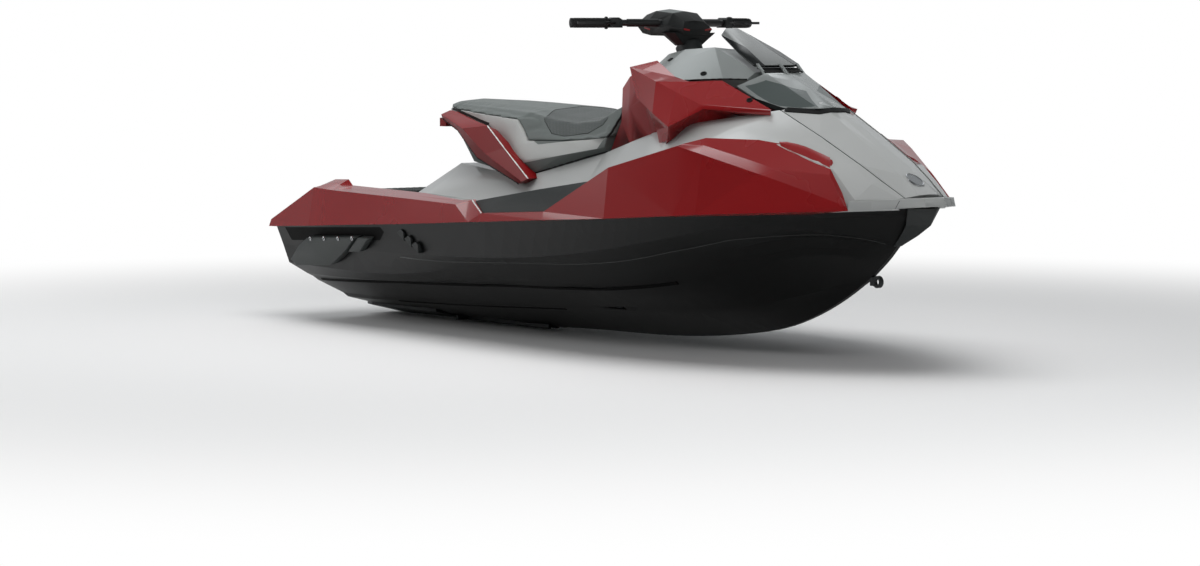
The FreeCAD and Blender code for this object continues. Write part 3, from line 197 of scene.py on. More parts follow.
class GroupPen(Pen):
    """A pen for a new group with named inputs and outputs."""

    def __init__(self, name: str, kind: str, inputs: dict[str, str],
                 outputs: dict[str, str]) -> None:
        """Makes the group.

        Args:
            name: the group's name.
            kind: the tree's type name.
            inputs: the socket kind of each input, by its name.
            outputs: the socket kind of each output, by its name.
        """
        super().__init__(bpy.data.node_groups.new(name, kind))
        self.names = self.sockets("INPUT", inputs)
        self.sockets("OUTPUT", outputs)
        self.source = self.add("NodeGroupInput").outputs
        self.sink = self.add("NodeGroupOutput")

    def sockets(self, way: str, kinds: dict[str, str]) -> dict[str, str]:
        """Gives the group sockets that run that way and says their identifiers."""
        new = self.tree.interface.new_socket
        return {title: new(title, in_out=way, socket_type="NodeSocket" + kind).identifier
                for title, kind in kinds.items()}


class Surface(Enum):
    """The fine relief that a finish has."""

    PEEL = "paint ripple"
    GRAIN = "moulded grain"
    LEATHER = "cover pebble"
    WEAVE = "anti-slip weave"
    CAST = "cast skin"
    BRUSHED = "brushed metal"


class ReliefGroups:
    """The shader groups that the finishes share, each built once."""

    plain: dict[Surface, Pair] = {Surface.PEEL: (1.0, 0.4), Surface.GRAIN: (4.0, 0.62),
                                  Surface.CAST: (6.0, 0.7)}  # detail and roughness
    bend_scale: float = 60.0
    bend_reach: float = 0.004
    weave_turn: float = math.radians(38)
    brush_stretch: Triple = (0.06, 1.0, 1.0)

    def __init__(self) -> None:
        """Starts with no group built."""
        self.built: dict[str, bpy.types.NodeTree] = {}

    def drift(self) -> bpy.types.NodeTree:
        """Gives the group that lets a colour drift in wide soft patches.

        Returns:
            A group with the drifting Colour and the patches' Mask as outputs.
        """
        name = "soft drift"
        if name not in self.built:
            pen = GroupPen(name, "ShaderNodeTree",
                           {"Colour": "Color", "Scale": "Float", "Amount": "Float"},
                           {"Colour": "Color", "Mask": "Float"})
            place = pen.out("ShaderNodeTexCoord", output="Object")
            patches = pen.out("ShaderNodeTexNoise", {"Vector": place, "Detail": 3.0,
                                                     "Roughness": 0.5,
                                                     "Scale": pen.source["Scale"]})
            centred = pen.math("SUBTRACT", patches, 0.5)
            share = pen.math("MULTIPLY", centred, pen.source["Amount"])
            tinted = pen.out("ShaderNodeHueSaturation", {"Value": pen.math("ADD", share, 1.0),
                                                         "Color": pen.source["Colour"]})
            pen.fill(pen.sink, {"Colour": tinted, "Mask": patches})
            self.built[name] = pen.tree
        return self.built[name]

    def relief(self, surface: Surface) -> bpy.types.NodeTree:
        """Gives the group that puts out the height of one kind of relief.

        Args:
            surface: which relief it is.

        Returns:
            A group with a Scale input and a Height output.
        """
        name = surface.value
        if name not in self.built:
            pen = GroupPen(name, "ShaderNodeTree", {"Scale": "Float"}, {"Height": "Float"})
            place = pen.out("ShaderNodeTexCoord", output="Object")
            if surface in self.plain:
                detail, roughness = self.plain[surface]
                height = pen.out("ShaderNodeTexNoise", {
                    "Vector": place, "Scale": pen.source["Scale"], "Detail": detail,
                    "Roughness": roughness})
            else:
                maker = {Surface.LEATHER: self.pebble, Surface.WEAVE: self.weave,
                         Surface.BRUSHED: self.brushed}[surface]
                height = maker(pen, place)
            pen.fill(pen.sink, {"Height": height})
            self.built[name] = pen.tree
        return self.built[name]

    def pebble(self, pen: GroupPen, place: Socket) -> Socket:
        """Makes the rounded cells of a moulded cover, broken up by noise.

        Args:
            pen: the pen of the group.
            place: the place on the piece.

        Returns:
            The height.
        """
        bent = pen.out("ShaderNodeTexNoise", {"Vector": place, "Scale": self.bend_scale,
                                              "Detail": 2.0}, "Color")
        spread = pen.out("ShaderNodeVectorMath", {0: bent, 3: self.bend_reach},
                         operation="SCALE")
        moved = pen.out("ShaderNodeVectorMath", {0: place, 1: spread}, operation="ADD")
        return pen.out("ShaderNodeTexVoronoi", {"Vector": moved, "Scale": pen.source["Scale"]},
                       "Distance", feature="F1")

    def weave(self, pen: GroupPen, place: Socket) -> Socket:
        """Makes a crossed weave of slanted ribs.

        Args:
            pen: the pen of the group.
            place: the place on the piece.

        Returns:
            The height.
        """
        turned = pen.out("ShaderNodeMapping", {"Vector": place,
                                               "Rotation": (0.0, 0.0, self.weave_turn)})
        ribs, cross = (pen.out("ShaderNodeTexWave", {"Vector": turned,
                                                     "Scale": pen.source["Scale"]},
                               "Fac", bands_direction=way, wave_profile="SIN") for way in "XY")
        return pen.math("MULTIPLY", ribs, cross)

    def brushed(self, pen: GroupPen, place: Socket) -> Socket:
        """Makes the height of fine lines that run along the piece."""
        drawn = pen.out("ShaderNodeMapping", {"Vector": place, "Scale": self.brush_stretch})
        return pen.out("ShaderNodeTexNoise", {"Vector": drawn, "Scale": pen.source["Scale"],
                                              "Detail": 5.0}, "Fac")


GROUPS = ReliefGroups()


@dataclass(frozen=True)
class Finish:
    """One finish of the craft: its colour, gloss and fine relief."""

    name: str
    colour: tuple[int, int, int]
    roughness: float
    surface: Surface
    relief_scale: float
    relief_height: float
    relief_strength: float
    coat: float = 0.0
    metallic: float = 0.0
    drift_scale: float = 3.0
    drift_amount: float = 0.12
    rough_swing: float = 0.06
    sheen: float = 0.0
    specular: float = 0.5
    smoothest: float = 0.02
    coat_roughness: float = 0.04
    sheen_roughness: float = 0.4

    def material(self) -> bpy.types.Material:
        """Builds the finish once and gives it back after that.

        Returns:
            The finish's material.
        """
        made = bpy.data.materials.get(self.name)
        if made:
            return made
        made = bpy.data.materials.new(self.name)
        made.use_nodes = True
        made.diffuse_color = tone(*self.colour)
        pen = Pen(made.node_tree)
        drift = pen.add("ShaderNodeGroup", {
            "Colour": tone(*self.colour), "Scale": self.drift_scale,
            "Amount": self.drift_amount}, node_tree=GROUPS.drift()).outputs
        roughness = pen.out("ShaderNodeMapRange", {
            "Value": drift["Mask"], "To Max": self.roughness + self.rough_swing,
            "To Min": max(self.roughness - self.rough_swing, self.smoothest)})
        height = pen.out("ShaderNodeGroup", {"Scale": self.relief_scale},
                         node_tree=GROUPS.relief(self.surface))
        normal = pen.out("ShaderNodeBump", {"Height": height, "Strength": self.relief_strength,
                                            "Distance": self.relief_height * MM})
        pen.fill(made.node_tree.nodes["Principled BSDF"], {
            "Base Color": drift["Colour"], "Roughness": roughness, "Normal": normal,
            "Metallic": self.metallic, "Specular IOR Level": self.specular,
            "Coat Weight": self.coat, "Coat Roughness": self.coat_roughness,
            "Sheen Weight": self.sheen, "Sheen Roughness": self.sheen_roughness})
        return made


RED_GLOSS = Finish("red gelcoat", (136, 12, 16), 0.28, Surface.PEEL, 260.0, 0.05, 0.25,
                   coat=0.6, drift_amount=0.08, specular=0.4)
RED_SATIN = Finish("red moulding", (124, 13, 17), 0.42, Surface.PEEL, 260.0, 0.05, 0.25,
                   drift_amount=0.08, specular=0.25)
SHELL_GREY = Finish("pale grey gelcoat", (172, 174, 173), 0.34, Surface.PEEL, 260.0, 0.05, 0.25,
                    coat=0.6, drift_amount=0.05)
HULL_BLACK = Finish("hull moulding", (5, 6, 6), 0.36, Surface.GRAIN, 700.0, 0.12, 0.35,
                    drift_amount=0.3, drift_scale=2.0, specular=0.22)
# painted shade: near-black for the shaded recess above each sponson and for the dark side of the
# lower strakes
HULL_PAINTED_SHADE = Finish("hull painted shade", (2, 2, 2), 0.6, Surface.GRAIN, 700.0, 0.12, 0.35,
                   specular=0.08)
# painted highlight: a lighter tone for the lit edge of the upper strake
HULL_PAINTED_HIGHLIGHT = Finish("hull painted highlight", (24, 27, 26), 0.36, Surface.GRAIN, 700.0, 0.12, 0.35)
# dark trim parts, and painted shade on the nose's lower edge
DARK_TRIM_AND_SHADE = Finish("dark trim and painted shade", (27, 31, 31), 0.58, Surface.GRAIN, 900.0, 0.25, 0.6)
# black rubber for seams and plugs, and painted shade for the dark strips laid where gaps fall in
# shadow
BLACK_RUBBER_AND_GAP_SHADE = Finish("black rubber and gap shade", (12, 13, 13), 0.75, Surface.GRAIN, 900.0, 0.1, 0.4)
BUMPER_GREY = Finish("bumper", (158, 160, 159), 0.42, Surface.GRAIN, 700.0, 0.12, 0.4)
CONSOLE_SILVER = Finish("console silver", (134, 139, 138), 0.34, Surface.GRAIN, 1600.0, 0.06, 0.35,
                        coat=0.25, metallic=0.35)
NOSE_SILVER = Finish("nose silver", (138, 143, 142), 0.24, Surface.PEEL, 300.0, 0.04, 0.2,
                     coat=0.8, metallic=0.3)
NOSE_PANE = Finish("nose pane", (72, 80, 79), 0.22, Surface.PEEL, 300.0, 0.04, 0.2, coat=0.5)
SMOKE = Finish("smoked pane", (22, 25, 25), 0.16, Surface.PEEL, 200.0, 0.03, 0.15, coat=0.3,
               specular=0.35)
# painted reflection: a paler smoke where the deflector's upward centre faces mirror the sky
SMOKE_PAINTED_REFLECTION = Finish("smoked pane painted reflection", (112, 115, 114), 0.14, Surface.PEEL, 200.0, 0.03, 0.15,
                    coat=1.0)
COVER_GREY = Finish("seat cover", (94, 101, 99), 0.56, Surface.LEATHER, 620.0, 0.35, 0.6,
                    sheen=0.15)
COVER_DARK = Finish("seat cover skirt", (98, 104, 102), 0.6, Surface.LEATHER, 620.0, 0.35, 0.6)
COVER_PALE = Finish("seat cover inlay", (176, 178, 176), 0.5, Surface.LEATHER, 700.0, 0.25, 0.5)
COVER_WEAVE = Finish("seat cover insert", (74, 80, 79), 0.62, Surface.WEAVE, 60.0, 1.2, 0.9,
                     sheen=0.2)
SEAM_BLACK = Finish("piping", (16, 17, 17), 0.55, Surface.GRAIN, 900.0, 0.15, 0.5)
# painted highlight: a near-white line for the light caught along panel and cowl edges
PAINTED_EDGE_HIGHLIGHT = Finish("painted edge highlight", (226, 226, 224), 0.3, Surface.PEEL, 260.0, 0.05, 0.2,
                    coat=0.4)
THREAD = Finish("thread", (62, 66, 66), 0.7, Surface.BRUSHED, 900.0, 0.1, 0.6)
RUBBER = Finish("grip rubber", (19, 20, 20), 0.62, Surface.GRAIN, 1400.0, 0.2, 0.6)
BAR_BLACK = Finish("painted tube", (24, 25, 26), 0.32, Surface.GRAIN, 1600.0, 0.05, 0.4, coat=0.3)
PAD_BLACK = Finish("bar pad", (20, 22, 22), 0.5, Surface.LEATHER, 900.0, 0.2, 0.5)
PAD_GREY = Finish("bar pad hump", (84, 90, 89), 0.46, Surface.LEATHER, 900.0, 0.2, 0.5)
RED_ACCENT = Finish("red accent", (150, 22, 24), 0.4, Surface.PEEL, 300.0, 0.05, 0.3, coat=0.3)
CAST_ALLOY = Finish("cast alloy", (150, 153, 156), 0.46, Surface.CAST, 420.0, 0.25, 0.6,
                    metallic=0.9)
ALLOY_DARK = Finish("coated alloy", (38, 41, 42), 0.5, Surface.CAST, 420.0, 0.2, 0.5,
                    metallic=0.3)
STEEL = Finish("stainless steel", (176, 178, 180), 0.26, Surface.BRUSHED, 900.0, 0.05, 0.5,
               metallic=1.0)
NOZZLE_BLACK = Finish("nozzle plastic", (30, 31, 32), 0.5, Surface.GRAIN, 800.0, 0.2, 0.5)
SPONSON_GREY = Finish("sponson plastic", (40, 45, 44), 0.52, Surface.GRAIN, 800.0, 0.25, 0.6)
MAT_FOAM = Finish("foam mat", (40, 43, 43), 0.85, Surface.GRAIN, 1500.0, 0.4, 0.8)
MAT_TILE = Finish("foam mat tile", (52, 56, 56), 0.8, Surface.GRAIN, 1500.0, 0.4, 0.8)
ENGINE_PAINT = Finish("engine paint", (118, 121, 124), 0.42, Surface.CAST, 300.0, 0.3, 0.6,
                      metallic=0.5)


# Meshes


def shown(name: str, data: bpy.types.ID) -> bpy.types.Object:
    """Puts a new object into the scene.

    Args:
        name: the object's name.
        data: its mesh, lamp or camera.

    Returns:
        The object.
    """
    item = bpy.data.objects.new(name, data)
    bpy.context.scene.collection.objects.link(item)
    return item


def solid(name: str, form: bmesh.types.BMesh) -> bpy.types.Mesh:
    """Turns a mesh under work into a plain one of that name.

    Args:
        name: the plain mesh's name.
        form: the mesh under work; it is freed.

    Returns:
        The plain mesh.
    """
    mesh = bpy.data.meshes.new(name)
    form.to_mesh(mesh)
    form.free()
    return mesh


def settled(item: bpy.types.Object) -> bpy.types.Mesh:
    """Gives the plain mesh that an object's modifiers make."""
    view = bpy.context.evaluated_depsgraph_get()
    return bpy.data.meshes.new_from_object(item.evaluated_get(view), depsgraph=view)


def paint(form: bmesh.types.BMesh, outline: Sequence[Pair], number: int,
          axes: tuple[int, int] = (0, 2),
          test: Optional[Callable[[bmesh.types.BMFace], bool]] = None) -> None:
    """Gives the faces inside an outline another finish, after cutting them along its edges.

    Args:
        form: the mesh under work.
        outline: corners in millimetres along the two axes.
        number: the material number for the faces inside.
        axes: which two axes the outline is drawn in.
        test: says for a face whether it may be painted.
    """
    corners = [Vector((a * MM, b * MM)) for a, b in outline]
    low = [min(c[i] for c in corners) for i in (0, 1)]
    high = [max(c[i] for c in corners) for i in (0, 1)]

    def near(face: bmesh.types.BMFace) -> bool:
        """Says whether a face may be painted and reaches into the outline's box.

        Args:
            face: the face.

        Returns:
            True where both hold.
        """
        if test and not test(face):
            return False
        for i in (0, 1):
            values = [v.co[axes[i]] for v in face.verts]
            if max(values) < low[i] or min(values) > high[i]:
                return False
        return True

    for start, end in zip(corners, corners[1:] + corners[:1]):
        faces = [f for f in form.faces if near(f)]
        across = Vector((0, 0, 0))
        across[axes[0]] = (end - start)[1]
        across[axes[1]] = -(end - start)[0]
        point = Vector((0, 0, 0))
        point[axes[0]], point[axes[1]] = start
        edges = list({e for f in faces for e in f.edges})
        verts = list({v for f in faces for v in f.verts})
        bmesh.ops.bisect_plane(form, geom=verts + edges + faces, dist=ON_CORNER,
                               plane_co=point, plane_no=across.normalized())
    for face in form.faces:
        if near(face) and inside(face.calc_center_median(), corners, axes):
            face.material_index = number


def inside(point: Vector, corners: Sequence[Vector], axes: tuple[int, int]) -> bool:
    """Says whether a point lies inside an outline seen along the third axis.

    Args:
        point: the point.
        corners: the outline's corners along the two axes.
        axes: which two axes the outline is drawn in.

    Returns:
        True where it lies inside.
    """
    u, v = point[axes[0]], point[axes[1]]
    found = False
    for start, end in zip(corners, corners[1:] + corners[:1]):
        if (start[1] > v) != (end[1] > v):
            if u < (end[0] - start[0]) * (v - start[1]) / (end[1] - start[1]) + start[0]:
                found = not found
    return found


class Skin:
    """The outer surface of pieces, for laying lines on it and setting screws in it."""

    def __init__(self, *items: bpy.types.Object) -> None:
        """Keeps a search tree of the pieces' meshes."""
        form = bmesh.new()
        for item in items:
            form.from_mesh(item.data)
        self.tree = BVHTree.FromBMesh(form)
        form.free()

    def nearest(self, point: Vector) -> tuple[Vector, Vector]:
        """Gives the nearest place on the skin and the direction that it faces."""
        return self.tree.find_nearest(point)[:2]

    def below(self, x: float, y: float, level: float) -> tuple[Optional[Vector], Optional[Vector]]:
        """Gives the place and the facing that a look straight down from a level meets."""
        return self.tree.ray_cast(at(x, y, level), -UP)[:2]

    def along(self, points: Sequence[Triple], pitch: float = 6.0) -> Course:
        """Lays a path through points on the skin.

        Args:
            points: places near the skin, in millimetres.
            pitch: the longest step.

        Returns:
            The path's points and the directions that the skin faces there.
        """
        found = []
        places = [at(*p) for p in points]
        for number, (start, end) in enumerate(zip(places, places[1:])):
            steps = max(1, math.ceil((end - start).length / (pitch * MM)))
            found += [self.nearest(start.lerp(end, step / steps))
                      for step in range(min(number, 1), steps + 1)]
        return parted(found)


def bridged(form: bmesh.types.BMesh, rings: Sequence[Sequence[Vector]], closed: bool = False,
            number: int = 0) -> None:
    """Joins rings of points to a tube, with ends unless it is closed, and adds it to a mesh.

    Args:
        form: the mesh that it is added to.
        rings: each ring's points, in metres and in step with the next ring's.
        closed: whether the last ring is joined to the first.
        number: the material number of its faces.
    """
    rows = [[form.verts.new(point) for point in ring] for ring in rings]
    made = []
    size = len(rows[0])
    for low, high in zip(rows, rows[1:] + rows[:closed]):
        for k in range(size):
            j = (k + 1) % size
            made.append(form.faces.new((low[k], low[j], high[j], high[k])))
    if not closed:
        made += [form.faces.new(rows[0][::-1]), form.faces.new(rows[-1])]
    for face in made:
        face.material_index = number
    bmesh.ops.recalc_face_normals(form, faces=made)


def swept(form: bmesh.types.BMesh, course: Course, profile: Sequence[Pair],
          closed: bool = False, number: int = 0) -> None:
    """Sweeps a closed outline along a path and adds it to a mesh.

    Args:
        form: the mesh that it is added to.
        course: the path's points, in metres, and which way is out at each.
        profile: the outline as across and out, in millimetres.
        closed: whether the path comes back to its start.
        number: the material number of its faces.
    """
    rings = []
    path, facings = course
    last = len(path) - 1
    for i, point in enumerate(path):
        before = path[i - 1] if i or closed else point
        after = path[(i + 1) % len(path)] if i < last or closed else point
        run = (after - before).normalized()
        out = (facings[i] - run * facings[i].dot(run)).normalized()
        across = run.cross(out)
        rings.append([point + (across * a + out * b) * MM for a, b in profile])
    bridged(form, rings, closed, number)


def round_profile(radius: float, sides: int, sink: float = 0.0) -> list[Pair]:
    """Gives a round outline, sunk by a share of its radius."""
    turns = [2 * math.pi * k / sides for k in range(sides)]
    return [(radius * math.cos(a), radius * (math.sin(a) - sink)) for a in turns]


def flat_profile(width: float, height: float, sink: float = 0.6) -> list[Pair]:
    """Gives a flat strip's outline with eased top corners."""
    half, ease = width / 2, min(height * 0.6, width * 0.2)
    return [(-half, -sink), (half, -sink), (half, height - ease), (half - ease, height),
            (ease - half, height), (-half, height - ease)]


@dataclass(frozen=True)
class Strip:
    """A flat line on a skin, with the material number of its finish."""

    points: tuple[Triple, ...]
    width: float
    height: float
    zone: int = 0


# Repeated small forms, by Geometry Nodes


class Form(Enum):
    """The small form that a pattern repeats."""

    SCREW = "screw head"
    STITCH = "stitch"
    TILE = "mat tile"
    RIB = "grip rib"


@dataclass(frozen=True)
class Pattern:
    """A Geometry Nodes tree that repeats one small form at points or along a path."""

    form: Form
    width: float
    height: float
    length: float = 0.0
    pitch: float = 0.0
    screw_steps: tuple[Pair, ...] = ((0.25, 0.86), (0.0, 0.62), (-0.8, 0.9))
    tile_step: Pair = (0.35, 0.82)
    top_from: float = 0.9  # a tile's top faces up by at least this
    screw_sides: int = 20
    ring_sides: int = 28
    bead_sides: int = 6
    stitch_sides: tuple[int, int] = (8, 5)

    def tree(self) -> GroupPen:
        """Builds the tree.

        Returns:
            Its pen, which knows the inputs' identifiers.
        """
        inputs = {"Spots": "Geometry", "Width": "Float", "Height": "Float", "Length": "Float",
                  "Pitch": "Float", "Finish": "Material"}
        pen = GroupPen("pattern " + self.form.value, "GeometryNodeTree", inputs,
                       {"Geometry": "Geometry"})
        points = pen.source["Spots"]
        facing, along = (pen.out("GeometryNodeInputNamedAttribute", {"Name": name}, "Attribute",
                                 data_type="FLOAT_VECTOR") for name in ("facing", "along"))
        if self.pitch:
            curve = pen.out("GeometryNodeMeshToCurve", {"Mesh": points})
            points = pen.out("GeometryNodeResampleCurve", {
                "Curve": curve, "Length": pen.source["Pitch"]}, mode="LENGTH")
            along = pen.out("GeometryNodeInputTangent")
        upright = pen.out("FunctionNodeAlignRotationToVector", {"Vector": facing}, axis="Z")
        turned = pen.out("FunctionNodeAlignRotationToVector", {
            "Rotation": upright, "Vector": along}, axis="X", pivot_axis="Z")
        copies = pen.out("GeometryNodeInstanceOnPoints", {
            "Points": points, "Instance": self.shape(pen), "Rotation": turned})
        real = pen.out("GeometryNodeRealizeInstances", {"Geometry": copies})
        dressed = pen.out("GeometryNodeSetMaterial", {"Geometry": real,
                                                      "Material": pen.source["Finish"]})
        pen.fill(pen.sink, {"Geometry": dressed})
        return pen

    def shape(self, pen: GroupPen) -> Socket:
        """Adds the nodes of the small form.

        Args:
            pen: the pen of the tree.

        Returns:
            The socket that the small form comes out of.
        """
        width, height, length = (pen.source[n] for n in ("Width", "Height", "Length"))
        if self.form is Form.RIB:
            ring, bead = (pen.out("GeometryNodeCurvePrimitiveCircle", {
                "Resolution": sides, "Radius": radius}, mode="RADIUS")
                for sides, radius in ((self.ring_sides, width), (self.bead_sides, height)))
            tube = pen.out("GeometryNodeCurveToMesh", {"Curve": ring, "Profile Curve": bead})
            return pen.out("GeometryNodeTransform", {"Geometry": tube,
                                                     "Rotation": (0.0, math.pi / 2, 0.0)})
        if self.form is Form.SCREW:
            head = pen.add("GeometryNodeMeshCylinder", {
                "Vertices": self.screw_sides, "Radius": width, "Depth": height},
                fill_type="NGON").outputs
            mesh, top = head["Mesh"], head["Top"]
            for step in self.screw_steps:
                mesh, top = self.stepped(pen, mesh, top, step)
            return mesh
        size = pen.out("ShaderNodeCombineXYZ", {0: length, 1: width, 2: height})
        if self.form is Form.STITCH:
            around, rings = self.stitch_sides
            bead = pen.out("GeometryNodeMeshUVSphere", {"Segments": around, "Rings": rings,
                                                        "Radius": 0.5})
            return pen.out("GeometryNodeTransform", {"Geometry": bead, "Scale": size})
        block = pen.out("GeometryNodeMeshCube", {"Size": size})
        level = pen.out("ShaderNodeSeparateXYZ", {0: pen.out("GeometryNodeInputNormal")}, "Z")
        upper = pen.out("FunctionNodeCompare", {"A": level, "B": self.top_from},
                        data_type="FLOAT", operation="GREATER_THAN")
        return self.stepped(pen, block, upper, self.tile_step)[0]

    @staticmethod
    def stepped(pen: GroupPen, mesh: Socket, top: Socket, step: Pair) -> tuple[Socket, Socket]:
        """Draws a top face out or in and scales it.

        Args:
            pen: the pen of the tree.
            mesh: the mesh so far.
            top: which face is its top.
            step: the share of the form's height that it moves by, and what it is scaled by.

        Returns:
            The new mesh and its new top.
        """
        offset, scale = step
        drawn = pen.add("GeometryNodeExtrudeMesh", {
            "Mesh": mesh, "Selection": top,
            "Offset Scale": pen.math("MULTIPLY", pen.source["Height"], offset)}, mode="FACES")
        top = drawn.outputs["Top"]
        return pen.out("GeometryNodeScaleElements", {
            "Geometry": drawn.outputs["Mesh"], "Selection": top, "Scale": scale}), top

    def grown(self, name: str, runs: Sequence[Course], finish: Finish) -> bpy.types.Mesh:
        """Makes the pattern as one plain mesh.

        Args:
            name: the piece's name.
            runs: for each run, its points and the directions that they face.
            finish: the finish.

        Returns:
            The mesh.
        """
        points = [p for run, _ in runs for p in run]
        facings = [f for _, faces in runs for f in faces]
        edges = []
        start = 0
        for run, _ in runs:
            if self.pitch:
                edges += [(start + i, start + i + 1) for i in range(len(run) - 1)]
            start += len(run)
        mesh = bpy.data.meshes.new(name + "_spots")
        mesh.from_pydata([tuple(p) for p in points], edges, [])
        for title, values in (("facing", facings), ("along", [Vector((1, 0, 0))] * len(points))):
            layer = mesh.attributes.new(title, "FLOAT_VECTOR", "POINT")
            layer.data.foreach_set("vector", [c for v in values for c in v])
        spots = shown(name + "_spots", mesh)
        pen = self.tree()
        grower = spots.modifiers.new("pattern", "NODES")
        grower.node_group = pen.tree
        for title, value in (("Width", self.width * MM), ("Height", self.height * MM),
                             ("Length", self.length * MM), ("Pitch", self.pitch * MM),
                             ("Finish", finish.material())):
            grower[pen.names[title]] = value
        plain = settled(spots)
        bpy.data.objects.remove(spots)
        return plain


# Sub-assemblies


@dataclass
class Assembly:
    """A part of the craft: makes finished pieces from CAD nodes and new meshes, on one body."""

    nodes: dict[str, bpy.types.Object]
    body: str = "shell"

    def merged(self, node: str) -> bmesh.types.BMesh:
        """Copies a node's triangles, merged and with flat neighbours made one face.

        Args:
            node: the CAD node's name.

        Returns:
            The mesh under work.
        """
        form = bmesh.new()
        form.from_mesh(self.nodes[node].data)
        bmesh.ops.remove_doubles(form, verts=form.verts, dist=MERGE)
        bmesh.ops.dissolve_limit(form, angle_limit=math.radians(FLAT), verts=form.verts,
                                 edges=form.edges, delimit={"NORMAL"})
        bmesh.ops.triangulate(form, faces=[f for f in form.faces if len(f.verts) > 4])
        form.normal_update()
        return form

    def piece(self, name: str, shape: Union[bmesh.types.BMesh, bpy.types.Mesh],
              finishes: Sequence[Finish], slot: str, edge: float = 0.0,
              replaces: Sequence[str] = (), crease: float = CREASE,
              body: str = "") -> bpy.types.Object:
        """Makes a finished piece.

        Args:
            name: the piece's name.
            shape: its mesh, plain or under work, in metres.
            finishes: its finishes, by the faces' material number.
            slot: not used.
            edge: width of the rounding of its edges, or 0 for none.
            replaces: CAD nodes that it stands for.
            crease: angle over which an edge shades sharp, where it has no rounding.
            body: the body that it rides on, if it isn't the part's own.

        Returns:
            The piece's object.
        """
        mesh = shape if isinstance(shape, bpy.types.Mesh) else solid(name, shape)
        mesh.name = name
        zones = [min(face.material_index, len(finishes) - 1) for face in mesh.polygons]
        mesh.materials.clear()
        for finish in finishes:
            mesh.materials.append(finish.material())
        mesh.polygons.foreach_set("material_index", zones)
        mesh.shade_smooth()
        item = shown(name, mesh)
        if edge > 0:
            rounding = item.modifiers.new("rounding", "BEVEL")
            rounding.width = edge * MM
            rounding.segments = 2
            rounding.limit_method = "ANGLE"
            rounding.angle_limit = math.radians(ROUNDED_FROM)
            rounding.use_clamp_overlap = True
            rounding.harden_normals = True
        else:
            mesh.set_sharp_from_angle(angle=math.radians(crease))
            item.modifiers.new("flat faces lead", "WEIGHTED_NORMAL").keep_sharp = True
        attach(item, body or self.body)
        if replaces:
            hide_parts(*replaces)
        LOG.info("%s: %d faces on %s", name, len(mesh.polygons), body or self.body)
        return item

    def moulded(self, node: str, finish: Finish, slot: str, edge: float = 0.0,
                crease: float = CREASE, body: str = "") -> bpy.types.Object:
        """Replaces a CAD node by a cleaned copy of itself; the rest is as in piece()."""
        return self.piece(node + "_skin", self.merged(node), [finish], slot, edge, [node], crease,
                          body)

    def coat(self, node: str, finish: Finish) -> None:
        """Gives a CAD node that stays a finish of its own.

        Args:
            node: the CAD node.
            finish: its finish.
        """
        item = self.nodes[node]
        if not item.material_slots:
            item.data.materials.append(finish.material())
        for place in item.material_slots:
            place.material = finish.material()
        LOG.info("%s keeps its CAD mesh", node)

    def strips(self, name: str, skin: Skin, lines: Sequence[Strip], finishes: Sequence[Finish],
               slot: str, pitch: float = 6.0, sides: Sequence[int] = SIDES) -> None:
        """Lays flat lines on a skin as one piece.

        Args:
            name: the piece's name.
            skin: what they lie on.
            lines: the lines, for starboard.
            finishes: their finishes, by the lines' zones.
            slot: the record's material slot.
            pitch: the longest step along them.
            sides: the sides that have them.
        """
        form = bmesh.new()
        for side in sides:
            for line in lines:
                swept(form, skin.along(mirrored(line.points, side), pitch),
                      flat_profile(line.width, line.height), number=line.zone)
        self.piece(name, form, finishes, slot)

    def patterned(self, name: str, pattern: Pattern, runs: Sequence[Course], finish: Finish,
                  slot: str) -> None:
        """Makes a piece of a pattern's small forms, which stand on the runs' points."""
        self.piece(name, pattern.grown(name, runs, finish), [finish], slot)

    def studs(self, name: str, skin: Skin, points: Sequence[Triple], head: Pattern, lift: float,
              finish: Finish, slot: str) -> None:
        """Sets heads in a skin on both sides.

        Args:
            name: the piece's name.
            skin: what they sit on.
            points: places near the skin, for starboard.
            head: the head's pattern.
            lift: how far it stands off the skin.
            finish: its finish.
            slot: the record's material slot.
        """
        found = [skin.nearest(at(*point)) for side in SIDES for point in mirrored(points, side)]
        raised = [(place + facing * lift * MM, facing) for place, facing in found]
        self.patterned(name, head, [parted(raised)], finish, slot)


